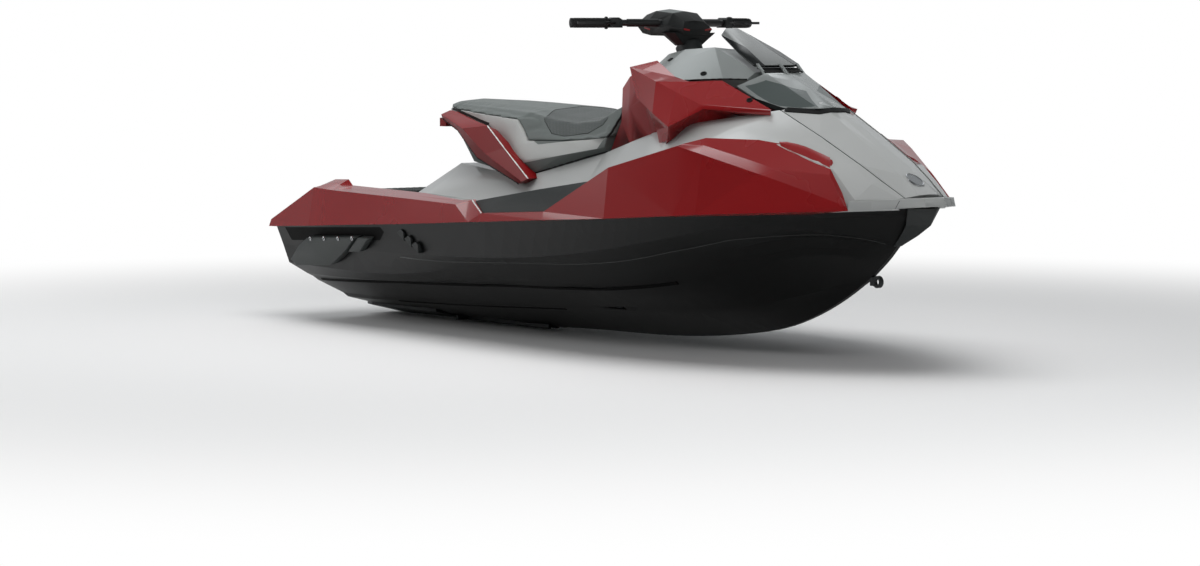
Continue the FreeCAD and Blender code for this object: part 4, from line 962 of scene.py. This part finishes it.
@dataclass
class Hull(Assembly):
    """The lower moulding with its guard, blades, vents and eyes."""

    crease: float = 5.0
    guard_edge: float = 2.0
    blade_edge: float = 3.0
    vent_edge: float = 1.5
    recess_shade_from: float = 400.0  # the painted recess shade lies farther off the centre plane than this
    # outline of the painted shade where the recess above the sponson lies in shadow
    recess_shade: tuple[Pair, ...] = ((-1506, 47), (-759, 84), (-738, 66), (-780, 34), (-1474, -2))
    bolt: Pattern = Pattern(Form.SCREW, 8.0, 3.0)
    bolt_lift: float = 1.0
    bolt_spots: tuple[Triple, ...] = ((-1237, -555, 18), (-1131, -563, 23.5), (-1022, -571, 29),
                                      (-915, -579, 35))
    seam: Strip = Strip(((1555, -128, 231), (1559, -116, 253), (1553, -102, 261)), 1.6, 0.25)
    seam_pitch: float = 4.0
    strake_pitch: float = 20.0
    # raised lines on the strakes: the first in painted highlight, the others in painted shade
    strake_light_and_shade: tuple[Strip, ...] = (
        Strip(((-669, -532, -23), (-414, -531, -24), (74, -506, -5), (519, -463, 21),
               (766, -418, 66), (981, -337, 114), (1124, -241, 130), (1280, -160, 138),
               (1368, -86, 126), (1410, -32, 110)), 5.0, 1.5),
        Strip(((-1418, -387, -154), (-859, -403, -132), (-425, -391, -118), (-69, -383, -104),
               (183, -379, -96), (469, -354, -76), (678, -312, -48)), 13.0, 1.5, 1),
        Strip(((-1083, -251, -225), (-776, -252, -217), (-382, -243, -203), (-50, -237, -189)),
              13.0, 1.5, 1))

    def build(self) -> None:
        """Makes every piece of the hull."""
        form = self.merged("hull")
        for side in SIDES:
            # paints the recess's shade near-black on each side of the hull
            paint(form, self.recess_shade, 1, test=lambda face, side=side:
                  face.calc_center_median().y * side > self.recess_shade_from * MM)
        hull = self.piece("hull_skin", form, [HULL_BLACK, HULL_PAINTED_SHADE], "hull_moulding",
                          replaces=["hull"], crease=self.crease)
        self.strips("hull_strake_light_and_shade", Skin(hull), self.strake_light_and_shade, [HULL_PAINTED_HIGHLIGHT, HULL_PAINTED_SHADE],
                    "hull_moulding", self.strake_pitch)
        self.moulded("stem_guard", DARK_TRIM_AND_SHADE, "dark_trim", self.guard_edge)
        bumper = self.moulded("bow_bumper", BUMPER_GREY, "bumper_grey", self.guard_edge)
        self.strips("bumper_seams", Skin(bumper), [self.seam], [BLACK_RUBBER_AND_GAP_SHADE], "dark_trim",
                    self.seam_pitch)
        blades = [self.moulded("sponson_" + SIDE_NAMES[side], SPONSON_GREY, "sponson_grey",
                               self.blade_edge) for side in SIDES]
        self.studs("sponson_bolts", Skin(*blades), self.bolt_spots, self.bolt, self.bolt_lift,
                   STEEL, "steel")
        self.moulded("side_vents", DARK_TRIM_AND_SHADE, "dark_trim", self.vent_edge)
        for node, finish in (("bow_eye", ALLOY_DARK), ("stern_eyes", STEEL),
                             ("engine_block", ENGINE_PAINT)):
            self.coat(node, finish)


@dataclass
class Deck(Assembly):
    """The upper moulding with its red panels, coamings and mats."""

    crease: float = 14.0
    coaming_edge: float = 2.0
    mat_edge: float = 1.5
    tile: Pattern = Pattern(Form.TILE, 10.0, 1.6, 26.0)
    tile_pitch: Pair = (32.0, 15.0)
    tile_margin: Pair = (4.0, 3.0)
    row_starts: Pair = (1.3, 0.8)  # in tile lengths from the mat's end, row by row in turn
    level_from: float = 0.8  # the mat faces up by at least this under a tile
    even_from: float = 0.999  # its facings agree by at least this under one tile
    look_from: float = 50.0  # how far over the mat a look down starts
    # painted highlight along the panel's edge, where light catches it
    panel_highlight: Strip = Strip(((-139, -586, 209), (-55, -606, 167)), 5.0, 0.5)
    rim_section: tuple[Pair, ...] = ((0, -4), (0, 3), (0.5, 6), (1, 0), (1, -6))  # share in, up
    fender_rim: tuple[tuple[Triple, Triple], ...] = (
        ((1118, -242, 438), (1134, -248, 427)), ((1138, -225, 438), (1164, -243, 415)),
        ((1167, -211, 432), (1200, -236, 401)), ((1197, -198, 424), (1232, -228, 390)),
        ((1222, -190, 415), (1259, -222, 381)), ((1245, -183, 406), (1282, -216, 373)),
        ((1267, -177, 398), (1305, -211, 366)), ((1290, -171, 389), (1327, -204, 360)))

    def build(self) -> None:
        """Makes every piece of the deck."""
        self.moulded("deck", SHELL_GREY, "shell_white", crease=self.crease)
        self.rims()
        for side in SIDES:
            name = SIDE_NAMES[side]
            panel = self.moulded("side_panel_" + name, RED_GLOSS, "red_gloss", crease=FACETED)
            self.strips("panel_painted_highlight_" + name, Skin(panel), [self.panel_highlight], [PAINTED_EDGE_HIGHLIGHT],
                        "light_trim", sides=[side])
            self.moulded("coaming_" + name, DARK_TRIM_AND_SHADE, "dark_trim", self.coaming_edge)
        for node in ("stern_mat", "footwell_mats"):
            mat = self.moulded(node, MAT_FOAM, "mat_foam", self.mat_edge)
            self.patterned(node + "_tiles", self.tile, [self.tiled(mat)], MAT_TILE, "mat_foam")

    def rims(self) -> None:
        """Makes the thin red rim that carries each fender up onto the deck."""
        form = bmesh.new()
        for side in SIDES:
            rings = []
            for pair in self.fender_rim:
                outer, inner = (at(*point) for point in mirrored(pair, side))
                rings.append([outer.lerp(inner, share) + at(0, 0, lift)
                              for share, lift in self.rim_section])
            bridged(form, rings)
        self.piece("fender_rims", form, [RED_GLOSS], "red_gloss", crease=SOFT)

    def tiled(self, mat: bpy.types.Object) -> Course:
        """Spreads tiles over a mat's upward faces in staggered rows.

        Args:
            mat: the mat.

        Returns:
            The tiles' places and the directions that they face.
        """
        skin = Skin(mat)
        corners = [v.co for v in mat.data.vertices]
        low = [min(c[i] for c in corners) / MM for i in range(3)]
        high = [max(c[i] for c in corners) / MM for i in range(3)]
        found = []
        row = 0
        y = low[1] + self.tile.width
        while y < high[1] - self.tile.width / 2:
            x = low[0] + self.tile.length * self.row_starts[row % 2]
            while x < high[0] - self.tile.length / 2:
                found.append(self.rest(skin, x, y, high[2] + self.look_from))
                x += self.tile_pitch[0]
            y += self.tile_pitch[1]
            row += 1
        return parted([spot for spot in found if spot])

    def rest(self, skin: Skin, x: float, y: float,
             level: float) -> Optional[tuple[Vector, Vector]]:
        """Looks down for one flat stretch of the mat under a whole tile.

        Args:
            skin: the mat's skin.
            x: the tile's middle along the craft.
            y: the tile's middle across the craft.
            level: a level over the mat.

        Returns:
            The middle's place and facing, or None where the tile would not rest flat.
        """
        reach = (self.tile.length / 2 + self.tile_margin[0],
                 self.tile.width / 2 + self.tile_margin[1])
        spots = [skin.below(x + a * reach[0], y + b * reach[1], level)
                 for a, b in ((0, 0), (-1, -1), (-1, 1), (1, -1), (1, 1))]
        if any(place is None or facing.z < self.level_from for place, facing in spots):
            return None
        even = all(facing.dot(spots[0][1]) > self.even_from for _, facing in spots[1:])
        return spots[0] if even else None


@dataclass
class Seat(Assembly):
    """The saddle: its stepped cushion, its skirt, the piping and the cowl behind it."""

    voxel: float = 7.0
    shrink: float = 2.5  # how far the cushion is drawn in before it is blown up
    swell: float = 5.0  # the farthest that blowing it up may move it
    held_within: float = 6.0  # the pad stays put where it is this near the base
    pressure: float = 4.0
    frames: int = 20
    cloth_quality: int = 4
    fill: float = 0.85
    skirt_edge: float = 2.0
    cover_crease: float = 60.0
    insert_from: float = 0.25  # the insert's faces look up by more than this
    stitch: Pattern = Pattern(Form.STITCH, 1.2, 1.0, 5.0, 8.0)
    piping: tuple[float, int, float] = (4.5, 10, 0.3)  # radius, sides, sunk share
    seam: tuple[float, int, float] = (1.8, 6, 0.5)
    line_pitch: float = 8.0
    seam_pitch: float = 6.0
    look_from: float = 900.0
    inlay: tuple[Pair, ...] = ((-960, 520), (-815, 513), (-305, 484), (-284, 475), (-216, 406),
                               (-191, 397), (165, 430), (134, 390), (-260, 329), (-532, 462),
                               (-700, 470))
    insert: tuple[Pair, ...] = ((-257, 0), (-249, 136), (-204, 215), (-139, 234), (-60, 236),
                                (62, 222), (113, 195), (131, 0))
    # foot and head are painted shade: dark strips where the gaps at the skirt's foot and along its
    # rear fall in shadow
    foot: Strip = Strip(((-520, -215, 302), (-290, -258, 282), (-230, -256, 288),
                         (-40, -240, 333), (80, -225, 362), (160, -212, 380)), 7.0, 1.2)
    head: Strip = Strip(((-880, -150, 512), (-825, -164, 508), (-532, -227, 462)), 10.0, 1.2)
    front: tuple[Triple, ...] = ((160, -212, 380), (168, -232, 396), (175, -226, 430),
                                 (185, -128, 566), (165, 0, 578))
    # painted highlight along the cowl's front edge
    cowl_front_highlight: Strip = Strip(((-443, -298, 459), (-330, -304, 380), (-176, -312, 276)), 5.0, 0.6)
    cowl_rear: Strip = Strip(((-862, -205, 476), (-708, -245, 436), (-560, -262, 338),
                              (-232, -314, 256)), 9.0, 0.8)

    def build(self) -> None:
        """Makes every piece of the seat."""
        form = self.merged("seat_base")
        paint(form, self.inlay, 1)
        skirt = self.piece("seat_skirt", form, [COVER_DARK, COVER_PALE], "light_trim",
                           self.skirt_edge, ["seat_base"])
        # lays the painted shade in the skirt's gaps
        self.strips("seat_gap_painted_shade", Skin(skirt), [self.foot, self.head], [BLACK_RUBBER_AND_GAP_SHADE], "dark_trim",
                    self.line_pitch)
        self.trim(Skin(self.cushion()))
        cowl = Skin(self.moulded("rear_cowl", RED_SATIN, "red_gloss", crease=SOFT))
        self.strips("cowl_front_painted_highlight", cowl, [self.cowl_front_highlight], [PAINTED_EDGE_HIGHLIGHT], "light_trim")
        self.strips("cowl_rear_frame", cowl, [self.cowl_rear], [DARK_TRIM_AND_SHADE], "dark_trim")
        self.moulded("tank_cover", RED_SATIN, "red_gloss", crease=self.cover_crease)

    def cushion(self) -> bpy.types.Object:
        """Blows the cushion up with cloth and paints its insert.

        Returns:
            The pad's object.
        """
        pad = self.blown()
        form = bmesh.new()
        form.from_mesh(pad.data)
        for side in SIDES:
            paint(form, [(x, side * y) for x, y in self.insert], 1, axes=(0, 1),
                  test=lambda face: face.normal.z > self.insert_from)
        for finish in (COVER_GREY, COVER_WEAVE):
            pad.data.materials.append(finish.material())
        form.to_mesh(pad.data)
        form.free()
        pad.data.shade_smooth()
        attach(pad, self.body)
        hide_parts("seat_cushion")
        LOG.info("%s: %d faces on %s", pad.name, len(pad.data.polygons), self.body)
        return pad

    def blown(self) -> bpy.types.Object:
        """Turns the cushion's solid into a stuffed pad.

        Returns:
            The pad's object, at the origin with a plain mesh.
        """
        form = self.merged("seat_cushion")
        for vertex in form.verts:
            vertex.co -= vertex.normal * self.shrink * MM
        pad = shown("seat_pad", solid("seat_pad", form))
        remesh = pad.modifiers.new("even", "REMESH")
        remesh.mode = "VOXEL"
        remesh.voxel_size = self.voxel * MM
        self.apply(pad)
        self.inflate(pad)
        smooth = pad.modifiers.new("finer", "SUBSURF")
        smooth.levels = smooth.render_levels = 1
        self.apply(pad)
        return pad

    def inflate(self, pad: bpy.types.Object) -> None:
        """Runs the cloth with pressure and keeps its result within the cap.

        Args:
            pad: the pad's object.
        """
        rest = [v.co.copy() for v in pad.data.vertices]
        base = Skin(self.nodes["seat_base"])
        held = [i for i, point in enumerate(rest)
                if (base.nearest(point)[0] - point).length < self.held_within * MM]
        pad.vertex_groups.new(name="held").add(held, 1.0, "REPLACE")
        cloth = pad.modifiers.new("cloth", "CLOTH")
        cloth.settings.use_pressure = True
        cloth.settings.uniform_pressure_force = self.pressure
        cloth.settings.effector_weights.gravity = 0.0
        cloth.settings.vertex_group_mass = "held"
        cloth.settings.quality = self.cloth_quality
        cloth.collision_settings.use_collision = False
        for frame in range(1, self.frames + 1):
            bpy.context.scene.frame_set(frame)
        view = bpy.context.evaluated_depsgraph_get()
        shape = [v.co.copy() for v in pad.evaluated_get(view).data.vertices]
        pad.modifiers.remove(cloth)
        bpy.context.scene.frame_set(1)
        for vertex, start, end in zip(pad.data.vertices, rest, shape):
            move = end - start
            if move.length > self.swell * MM:
                move = move.normalized() * self.swell * MM
            vertex.co = start + move

    @staticmethod
    def apply(item: bpy.types.Object) -> None:
        """Turns an object's modifiers into its plain mesh.

        Args:
            item: the object.
        """
        mesh = settled(item)
        item.modifiers.clear()
        item.data = mesh
        mesh.name = item.name

    def trim(self, skin: Skin) -> None:
        """Lays the front piping, the seam round the insert and its stitches.

        Args:
            skin: the cushion's skin.
        """
        form = bmesh.new()
        course = skin.along(doubled(self.front, 1), self.line_pitch)
        swept(form, course, round_profile(*self.piping))
        self.piece("seat_front_piping", form, [SEAM_BLACK], "dark_trim")
        tops = [skin.below(x, y, self.look_from)[0] for x, y in doubled(self.insert, 1)]
        path, facings = skin.along([tuple(p / MM) for p in tops], self.seam_pitch)
        form = bmesh.new()
        swept(form, (path[:-1], facings[:-1]), round_profile(*self.seam), closed=True)
        self.piece("seat_insert_seam", form, [SEAM_BLACK], "dark_trim")
        spots = [p + f * self.stitch.width * MM for p, f in zip(path, facings)]
        self.patterned("seat_stitches", self.stitch, [(spots, facings)], THREAD, "dark_trim")


@dataclass
class Console(Assembly):
    """The console before the bars and the two winglets beside it."""

    crease: float = 20.0
    plug: Pattern = Pattern(Form.SCREW, 11.0, 2.4)
    plug_lift: float = 0.4
    console_plugs: tuple[Triple, ...] = ((463, -172, 704), (688, -212, 667))
    wing_plugs: tuple[Triple, ...] = ((917, -200, 574),)
    # a dark strip of painted shade along the console's gap, where it falls in shadow
    gap_shade: Strip = Strip(((418, -205, 680), (476, -226, 672), (648, -272, 636),
                        (760, -184, 642), (828, -135, 641)), 6.0, 0.8)

    def build(self) -> None:
        """Makes every piece of the console."""
        console = self.moulded("console", CONSOLE_SILVER, "console_silver", crease=self.crease)
        wings = [self.moulded("wing_" + SIDE_NAMES[side], RED_GLOSS, "red_gloss", crease=SOFT)
                 for side in SIDES]
        for name, skin, spots in (("console_plugs", Skin(console), self.console_plugs),
                                  ("wing_plugs", Skin(*wings), self.wing_plugs)):
            self.studs(name, skin, spots, self.plug, self.plug_lift, BLACK_RUBBER_AND_GAP_SHADE, "dark_trim")
        self.strips("console_gap_painted_shade", Skin(console), [self.gap_shade], [BLACK_RUBBER_AND_GAP_SHADE], "dark_trim")


@dataclass
class Hood(Assembly):
    """The opening hood with its badge, the painted shade strip along the nose's gap, the nose and
    wind deflector.
    """

    body: str = "hood_assembly"
    badge_centre: Triple = (1512, 0, 322)
    badge_size: Pair = (36.0, 24.0)
    badge_sides: int = 40
    badge_rim: tuple[float, int, float] = (2.6, 8, 0.2)
    badge_lift: float = 0.8
    # a dark strip of painted shade on the hood where the gap in front of the nose falls in shadow
    nose_gap_shade_path: tuple[Triple, ...] = ((1024, -134, 535), (1113, -62, 536), (1128, -4, 536))
    nose_gap_shade_size: Pair = (26.0, 3.0)
    nose_edge: float = 2.0
    pane_from: float = 0.3  # the faces of panes look up by more than this
    lip_shade_below: float = 0.2  # those of the painted shade on the nose's lower edge by less than this
    lip_shade_from: float = 870.0  # and that shade starts here
    pane: tuple[Pair, ...] = ((854, 166), (870, 140), (888, 103), (957, 74), (1003, 24),
                              (1056, 45), (1099, 55), (1056, 97), (997, 135), (962, 148))
    reflection_half: float = 50.0  # half the width of the deflector's painted reflection, at its centre
    # a dark sheet of painted shade in the gap at the deflector's post
    post_gap_shade: tuple[Triple, ...] = ((829, 93, 679), (861, 86, 666))
    post_gap_shade_depth: float = 2.0

    def build(self) -> None:
        """Makes every piece of the hood."""
        skin = Skin(self.moulded("hood", SHELL_GREY, "shell_white", crease=FACETED))
        self.badge(skin)
        form = bmesh.new()
        # lays the painted shade along the nose's gap
        swept(form, skin.along(doubled(self.nose_gap_shade_path)), flat_profile(*self.nose_gap_shade_size))
        self.piece("nose_gap_painted_shade", form, [BLACK_RUBBER_AND_GAP_SHADE], "dark_trim")
        self.nose()
        self.visor()

    def badge(self, skin: Skin) -> None:
        """Makes the blank oval badge.

        Args:
            skin: the hood's skin.
        """
        place, facing = skin.nearest(at(*self.badge_centre))
        side = Vector((0, 1, 0))
        fore = side.cross(facing)
        rim = [place + (fore * self.badge_size[0] * math.cos(a)
                        + side * self.badge_size[1] * math.sin(a)) * MM
               for a in (2 * math.pi * k / self.badge_sides for k in range(self.badge_sides))]
        form = bmesh.new()
        swept(form, (rim, [facing] * self.badge_sides), round_profile(*self.badge_rim),
              closed=True)
        plate = [form.verts.new(p + facing * self.badge_lift * MM) for p in rim]
        form.faces.new(plate).normal_update()
        self.piece("hood_badge", form, [STEEL], "steel")

    def nose(self) -> None:
        """Makes the nose with its side panes and painted shade on its lower edge."""
        form = self.merged("nose_module")
        for side in SIDES:
            paint(form, [(x, side * y) for x, y in self.pane], 1, axes=(0, 1),
                  test=lambda face: face.normal.z > self.pane_from)
        # painted shade: the nose's front faces that turn down or sideways are made dark
        for face in form.faces:
            if (face.normal.z < self.lip_shade_below
                    and face.calc_center_median().x > self.lip_shade_from * MM):
                face.material_index = 2
        self.piece("nose_skin", form, [NOSE_SILVER, NOSE_PANE, DARK_TRIM_AND_SHADE], "nose_silver",
                   self.nose_edge, ["nose_module"])

    def visor(self) -> None:
        """Makes the wind deflector with a painted reflection on its centre, and painted shade in
        the gap at its post.
        """
        form = self.merged("visor")
        for face in form.faces:
            # paints the reflection on the upward faces near the centre
            centre = face.calc_center_median() / MM
            if abs(centre.y) < self.reflection_half and face.normal.z > self.pane_from:
                face.material_index = 1
        self.piece("visor_pane", form, [SMOKE, SMOKE_PAINTED_REFLECTION], "smoke", self.nose_edge, ["visor"])
        form = bmesh.new()
        bridged(form, [[at(x, y, z - drop) for x, y, z in doubled(self.post_gap_shade)]
                       for drop in (0, self.post_gap_shade_depth)])
        self.piece("post_gap_shade", form, [BLACK_RUBBER_AND_GAP_SHADE], "dark_trim")


@dataclass
class Steering(Assembly):
    """The column, tube, pad, grips, pods and levers."""

    body: str = "steering"
    neck_edge: float = 1.5
    pad_edge: float = 2.0
    lever_edge: float = 1.2
    hump_depth: float = 20.0  # the pale hump is the pad's uppermost part
    hump_from: float = 0.5  # where it looks up by more than this
    bar_level: float = 832.0
    bar_inner: Pair = (300.0, 98.0)
    bar_outer: Pair = (198.0, 398.0)
    rib: Pattern = Pattern(Form.RIB, 17.0, 0.9, 0.0, 5.2)
    ribbed_length: float = 104.0
    grip_end: float = 10.0
    wedge_top: tuple[Pair, ...] = ((296, 84), (340, 104), (388, 92))
    wedge_foot: tuple[Pair, ...] = ((318, 34), (345, 44), (374, 38))
    wedge_levels: Pair = (798, 752)
    rib_steps: int = 20
    sleeve_span: tuple[int, ...] = (0, 12, 24, 36)  # in hundredths of the tube's run
    sleeve: tuple[float, int] = (14.0, 12)
    sleeve_crease: float = 50.0
    accents: tuple[Strip, ...] = (Strip(((222, -96, 815), (252, -95, 809)), 6.0, 1.0),
                                  Strip(((399, -62, 810), (399, -34, 806)), 6.0, 1.0))

    def build(self) -> None:
        """Makes every piece of the steering."""
        self.moulded("steering_neck", DARK_TRIM_AND_SHADE, "dark_trim", self.neck_edge, body="shell")
        self.moulded("handlebar", BAR_BLACK, "black_metal")
        form = self.merged("bar_pad")
        hump = max(v.co.z for v in form.verts) - self.hump_depth * MM
        for face in form.faces:
            if face.calc_center_median().z > hump and face.normal.z > self.hump_from:
                face.material_index = 1
        pad = self.piece("bar_pad_skin", form, [PAD_BLACK, PAD_GREY], "bar_black", self.pad_edge,
                         ["bar_pad"])
        self.strips("pad_accents", Skin(pad), self.accents, [RED_ACCENT], "bar_black")
        self.wedge()
        self.sleeves()
        for side in SIDES:
            self.moulded("grip_" + SIDE_NAMES[side], RUBBER, "grip_rubber")
        self.ribs()
        self.moulded("control_pods", DARK_TRIM_AND_SHADE, "dark_trim", self.neck_edge)
        self.moulded("levers", BAR_BLACK, "black_metal", self.lever_edge)

    def tube(self, side: int) -> tuple[Vector, Vector]:
        """Gives the inner and the outer end of the tube's straight run on a side."""
        ends = (self.bar_inner, self.bar_outer)
        return tuple(at(x, side * y, self.bar_level) for x, y in ends)

    def wedge(self) -> None:
        """Makes the tapered cover between the pad and the neck."""
        form = bmesh.new()
        bridged(form, [[at(x, y, level) for x, y in doubled(corners)] for corners, level
                       in zip((self.wedge_top, self.wedge_foot), self.wedge_levels)])
        self.piece("bar_wedge", form, [PAD_BLACK], "bar_black", self.pad_edge)

    def sleeves(self) -> None:
        """Wraps the tube beside the pad."""
        form = bmesh.new()
        for side in SIDES:
            inner, outer = self.tube(side)
            path = [inner.lerp(outer, share / 100) for share in self.sleeve_span]
            swept(form, (path, [UP] * len(path)), round_profile(*self.sleeve))
        self.piece("bar_sleeves", form, [PAD_BLACK], "bar_black", crease=self.sleeve_crease)

    def ribs(self) -> None:
        """Rings each grip with fine ribs along its axis."""
        runs = []
        for side in SIDES:
            inner, outer = self.tube(side)
            run = (outer - inner).normalized()
            start = outer - run * (self.ribbed_length + self.grip_end) * MM
            path = [start + run * self.ribbed_length * MM * k / self.rib_steps
                    for k in range(self.rib_steps + 1)]
            runs.append((path, [UP] * len(path)))
        self.patterned("grip_ribs", self.rib, runs, RUBBER, "grip_rubber")


@dataclass
class Drive(Assembly):
    """The jet pump, impeller, nozzle, bucket, ride plate and grate."""

    plate_edge: float = 1.5
    grate_edge: float = 1.0

    def build(self) -> None:
        """Makes every piece of the drive."""
        for node, finish, slot, body in (
                ("pump_housing", CAST_ALLOY, "cast_alloy", "shell"),
                ("impeller", STEEL, "steel", "rotor"),
                ("steering_nozzle", NOZZLE_BLACK, "nozzle_plastic", "nozzle"),
                ("reverse_bucket", NOZZLE_BLACK, "nozzle_plastic", "bucket")):
            self.moulded(node, finish, slot, crease=SOFT, body=body)
        self.moulded("ride_plate", ALLOY_DARK, "cast_alloy", self.plate_edge)
        self.moulded("intake_grate", ALLOY_DARK, "steel", self.grate_edge)


@dataclass(frozen=True)
class Lamp:
    """A soft panel lamp: where it hangs and aims, in metres, its size and its power in watts."""

    name: str
    place: Triple
    aim: Triple
    size: Pair
    power: float
    reflected: bool = True

    def hang(self) -> None:
        """Puts the lamp into the scene."""
        data = bpy.data.lights.new(self.name, "AREA")
        data.shape = "RECTANGLE"
        data.size, data.size_y = self.size
        data.energy = self.power
        item = shown(self.name, data)
        item.location = self.place
        way = Vector(self.aim) - Vector(self.place)
        item.rotation_euler = way.to_track_quat("-Z", "Y").to_euler()
        item.visible_glossy = self.reflected


@dataclass
class Studio:
    """Plain pale floor, soft light and the camera at the photo's angle; lengths in metres."""

    camera_place: Triple = (9.4253, -7.4105, 0.8015)
    camera_right: Triple = (0.61174, 0.79106, 0.0)
    camera_up: Triple = (-0.05953, 0.04603, 0.99716)
    camera_back: Triple = (0.78882, -0.61000, 0.07525)
    lens: float = 99.9355
    sensor: float = 36.0
    sight: float = 200.0
    floor_drop: float = 0.002
    floor_reach: float = 40.0
    floor_tone: tuple[float, ...] = (0.9, 0.9, 0.9, 1.0)
    floor_roughness: float = 0.8
    floor_grain: Pair = (4.0, 0.002)  # scale and height
    sky_tone: tuple[float, ...] = (0.95, 0.98, 1.0, 1.0)
    white: tuple[float, ...] = (1.0, 1.0, 1.0, 1.0)
    fade: Pair = (1.9, 5.0)  # the floor turns white between these distances
    dim: float = 0.1  # the light from all round, under the glows
    glow: tuple[tuple[Triple, float, float, float], ...] = (  # way, its two edges, strength
        ((-0.76, 0.6, 0.28), 0.55, 0.9, 0.42),
        ((-0.84, -0.52, 0.12), 0.72, 0.99, 0.12),
        ((-0.6, 0.3, 0.75), 0.92, 0.99, 1.2),
    )
    lamps: tuple[Lamp, ...] = (
        Lamp("overhead", (0.2, -0.6, 4.2), (0.1, 0.0, 0.0), (5.0, 3.2), 150.0, reflected=False),
        Lamp("quarter", (-4.2, -4.6, 2.4), (-0.4, 0.0, 0.1), (3.6, 2.4), 90.0),
        Lamp("bow", (5.4, -2.4, 2.6), (0.8, 0.0, 0.2), (2.6, 2.0), 55.0),
    )

    def build(self, lowest: float) -> None:
        """Sets the stage.

        Args:
            lowest: height of the craft's lowest point.
        """
        self.camera()
        self.floor(lowest - self.floor_drop)
        self.world()
        for lamp in self.lamps:
            lamp.hang()
        bpy.context.scene.view_settings.view_transform = "Standard"

    def camera(self) -> None:
        """Puts the camera where the photo's was fitted."""
        data = bpy.data.cameras.new("camera")
        data.lens = self.lens
        data.sensor_width = self.sensor
        data.clip_end = self.sight
        item = shown("camera", data)
        turn = Matrix((self.camera_right, self.camera_up, self.camera_back)).transposed()
        item.matrix_world = Matrix.Translation(self.camera_place) @ turn.to_4x4()
        bpy.context.scene.camera = item

    def floor(self, level: float) -> None:
        """Lays the pale floor just under the keel.

        Args:
            level: the floor's height.
        """
        form = bmesh.new()
        reach = self.floor_reach
        form.faces.new([form.verts.new((a * reach, b * reach, level))
                        for a, b in ((-1, -1), (1, -1), (1, 1), (-1, 1))])
        item = shown("floor", solid("floor", form))
        item.data.materials.append(self.floor_finish())
        item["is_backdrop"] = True

    def floor_finish(self) -> bpy.types.Material:
        """Makes the floor's finish, which fades to white where the camera sees it far off.

        Returns:
            The finish's material.
        """
        pale = bpy.data.materials.new("studio floor")
        pale.use_nodes = True
        pen = Pen(pale.node_tree)
        nodes = pale.node_tree.nodes
        place = pen.out("ShaderNodeTexCoord", output="Object")
        scale, height = self.floor_grain
        noise = pen.out("ShaderNodeTexNoise", {"Vector": place, "Scale": scale, "Detail": 2.0})
        bump = pen.out("ShaderNodeBump", {"Height": noise, "Strength": 0.05, "Distance": height})
        pen.fill(nodes["Principled BSDF"], {"Base Color": self.floor_tone, "Normal": bump,
                                            "Roughness": self.floor_roughness})
        away = pen.out("ShaderNodeVectorMath", {0: place}, "Value", operation="LENGTH")
        fade = pen.out("ShaderNodeMapRange", {"Value": away, "From Min": self.fade[0],
                                              "From Max": self.fade[1]},
                       interpolation_type="SMOOTHSTEP")
        seen = pen.math("MULTIPLY", fade, self.looking(pen))
        white = pen.out("ShaderNodeEmission", {"Strength": 1.0})
        mix = pen.out("ShaderNodeMixShader", {
            "Fac": seen, 1: nodes["Principled BSDF"].outputs[0], 2: white})
        pen.fill(nodes["Material Output"], {"Surface": mix})
        return pale

    def world(self) -> None:
        """Lights softly from all round, with white behind for the camera."""
        world = bpy.data.worlds.new("studio")
        world.use_nodes = True
        bpy.context.scene.world = world
        pen = Pen(world.node_tree)
        world.node_tree.nodes.clear()
        place = pen.out("ShaderNodeTexCoord", output="Generated")
        total = self.dim
        for aim, low, high, share in self.glow:
            facing = pen.out("ShaderNodeVectorMath", {0: place, 1: Vector(aim).normalized()},
                             "Value", operation="DOT_PRODUCT")
            part = pen.out("ShaderNodeMapRange", {"Value": facing, "From Min": low,
                                                  "From Max": high, "To Max": share},
                           interpolation_type="SMOOTHSTEP")
            total = pen.math("ADD", part, total)
        soft = pen.out("ShaderNodeBackground", {"Color": self.sky_tone, "Strength": total})
        white = pen.out("ShaderNodeBackground", {"Color": self.white, "Strength": 1.0})
        mix = pen.out("ShaderNodeMixShader", {"Fac": self.looking(pen), 1: soft, 2: white})
        pen.add("ShaderNodeOutputWorld", {"Surface": mix})

    @staticmethod
    def looking(pen: Pen) -> Socket:
        """Gives 1 for the camera's rays and for those that glass sends on."""
        rays = pen.add("ShaderNodeLightPath").outputs
        return pen.math("MAXIMUM", rays["Is Camera Ray"], rays["Is Transmission Ray"])


def main() -> None:
    """Builds the classes in order."""
    logging.basicConfig(level=logging.INFO, format="%(message)s")
    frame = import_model()
    cad_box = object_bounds()
    for kind in (Hull, Deck, Seat, Console, Hood, Steering, Drive):
        LOG.info("building %s", kind.__name__)
        kind(frame["nodes"]).build()
    Studio().build(cad_box[0][2])


if __name__ == "__main__":
    main()
